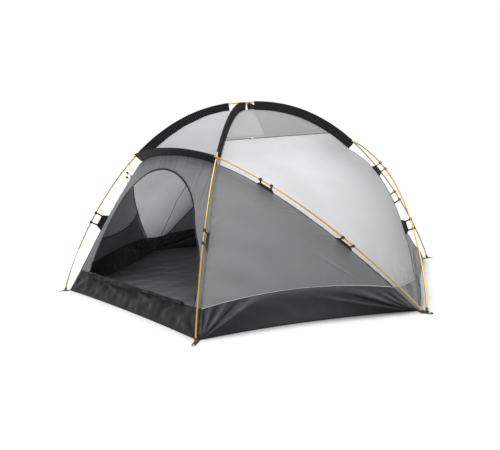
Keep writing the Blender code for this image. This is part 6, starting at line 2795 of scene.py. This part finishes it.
@dataclass
class Studio:
    """White floor, soft light and the camera of the photograph."""

    eye: tuple[float, float, float] = (3.139, -2.881, 1.1317)
    yaw: float = math.radians(-47.69)
    pitch: float = math.radians(-9.96)
    roll: float = math.radians(-2.95)
    focal_px: float = 566.82
    width_px: float = 500.0
    sensor_mm: float = 36.0
    lights: tuple[Light, ...] = (
        Light("key", "SUN", (1.3, -0.4, 5.2), (0.0, 0.0, 0.0), 35.0, 2.0),
        Light("fill", "SUN", (3.0, -4.0, 2.0), (0.0, 0.0, 0.0), 60.0, 0.12),
        Light("left window", "AREA", (-2.05, -0.80, 0.30), (-1.1, -0.35, 0.50), 0.6, 24.0),
    )
    sky: tuple[float, float] = (0.32, 0.88)  # strength of the surroundings near the floor and overhead
    floor_reach: float = 40.0
    floor_grey: float = 0.44
    floor_glow: float = 0.50
    shade_reach: float = 0.14
    shade_span: tuple[float, float] = (0.42, 0.93)
    shade_least: float = 0.22

    def camera(self) -> None:
        """Set the camera at the photograph's place and lens."""
        cp, sp, cy, sy = math.cos(self.pitch), math.sin(self.pitch), math.cos(self.yaw), math.sin(self.yaw)
        forward = Vector((cp * sy, cp * cy, sp))
        right = Vector((cy, -sy, 0.0))
        up = right.cross(forward)
        cr, sr = math.cos(self.roll), math.sin(self.roll)
        turned_right = right * cr + up * sr
        turned_up = up * cr - right * sr
        data = bpy.data.cameras.new("photograph")
        data.sensor_width = self.sensor_mm
        data.lens = self.sensor_mm * self.focal_px / self.width_px
        item = add_object("photograph", data)
        rotation = Matrix((turned_right, turned_up, -forward)).transposed().to_4x4()
        item.matrix_world = Matrix.Translation(self.eye) @ rotation
        bpy.context.scene.camera = item

    @staticmethod
    def add_light(light: Light) -> None:
        """Add one light that the camera doesn't see.

        Args:
            light: Its kind, place, aim, size and power.
        """
        data = bpy.data.lights.new(light.name, light.kind)
        data.energy = light.power
        item = add_object(light.name, data)
        if light.kind == "SUN":
            data.angle = math.radians(light.size)
        else:
            data.size = light.size
            item.visible_camera = False
        item.location = light.place
        way = Vector(light.aim) - Vector(light.place)
        item.rotation_euler = way.to_track_quat("-Z", "Y").to_euler()

    @staticmethod
    def seen_by(tree: bpy.types.NodeTree, rays: Sequence[str]) -> bpy.types.NodeSocket:
        """Tell whether a ray is of one of some kinds.

        Args:
            tree: Node tree that gets the nodes.
            rays: Outputs of the light path node.

        Returns:
            Socket that is one for such rays and zero for others.
        """
        path = add_node(tree, "ShaderNodeLightPath").outputs
        seen = path[rays[0]]
        for ray in rays[1:]:
            both = {0: seen, 1: path[ray]}
            seen = add_node(tree, "ShaderNodeMath", {"operation": "MAXIMUM"}, both).outputs[0]
        return seen

    def world(self) -> None:
        """Even pale surroundings, plain white where the camera looks past the tent."""
        world = bpy.data.worlds.new("studio")
        world.use_nodes = True
        tree = world.node_tree
        tree.nodes.clear()
        seen = self.seen_by(tree, ("Is Camera Ray", "Is Transmission Ray", "Is Glossy Ray"))
        way = add_node(tree, "ShaderNodeTexCoord")
        height = add_node(tree, "ShaderNodeSeparateXYZ", None, {"Vector": way.outputs["Generated"]})
        fade = {"Value": height.outputs["Z"], "To Min": self.sky[0], "To Max": self.sky[1]}
        sky = add_node(tree, "ShaderNodeMapRange", None, fade)
        strength = add_node(tree, "ShaderNodeMix", None, {"Factor": seen, "A": sky.outputs[0], "B": 1.0})
        white = {"Color": (1.0, 1.0, 1.0, 1.0), "Strength": strength.outputs[0]}
        back = add_node(tree, "ShaderNodeBackground", None, white)
        output = add_node(tree, "ShaderNodeOutputWorld")
        tree.links.new(back.outputs[0], output.inputs["Surface"])
        bpy.context.scene.world = world

    def floor(self) -> None:
        """White floor that keeps the tent's shadow."""
        mesh = bpy.data.meshes.new("studio_floor")
        reach = self.floor_reach
        corners = [(-reach, -reach, 0.0), (reach, -reach, 0.0), (reach, reach, 0.0), (-reach, reach, 0.0)]
        mesh.from_pydata(corners, [], [(0, 1, 2, 3)])
        item = add_object("studio_floor", mesh)
        material, tree, output = new_material("white_studio_floor")
        seen = self.seen_by(tree, ("Is Camera Ray", "Is Glossy Ray"))
        # The tent shades a narrow strip of the floor along its lower edge
        near = {"Distance": self.shade_reach}
        shade = add_node(tree, "ShaderNodeAmbientOcclusion", {"samples": 12}, near).outputs["AO"]
        span = {"Value": shade, "From Min": self.shade_span[0], "From Max": self.shade_span[1]}
        least = {"To Min": self.shade_least, "To Max": 1.0}
        ground = add_node(tree, "ShaderNodeMapRange", {"interpolation_type": "SMOOTHSTEP"}, span | least)
        times = {"operation": "MULTIPLY"}
        glow = add_node(tree, "ShaderNodeMath", times, {0: seen, 1: ground.outputs[0]})
        glow = add_node(tree, "ShaderNodeMath", times, {0: glow.outputs[0], 1: self.floor_glow})
        grey = add_node(tree, "ShaderNodeMath", times, {0: ground.outputs[0], 1: self.floor_grey})
        look = {
            "Base Color": grey.outputs[0],
            "Roughness": 1.0,
            "Specular IOR Level": 0.0,
            "Emission Color": (1.0, 1.0, 1.0, 1.0),
            "Emission Strength": glow.outputs[0],
        }
        paint = add_node(tree, "ShaderNodeBsdfPrincipled", None, look)
        tree.links.new(paint.outputs[0], output.inputs["Surface"])
        mesh.materials.append(material)

    def build(self) -> None:
        """Set up floor, light and camera."""
        self.world()
        self.floor()
        for light in self.lights:
            self.add_light(light)
        self.camera()
        bpy.context.scene.view_settings.view_transform = "Standard"


def main() -> None:
    """Build the tent's looks in order."""
    logging.basicConfig(level=logging.INFO, format="%(message)s")
    Studio().build()
    parts = (
        PoleSet(), TubFloor(), Canopy(), SeamTrim(), DoorWalls(), VentZips(), SleeveSet(), TabSet(),
        CornerStraps(), InnerPieces(), Hardware(),
    )
    for part in parts:
        LOG.info("building %s", type(part).__name__)
        part.build()


if __name__ == "__main__":
    main()
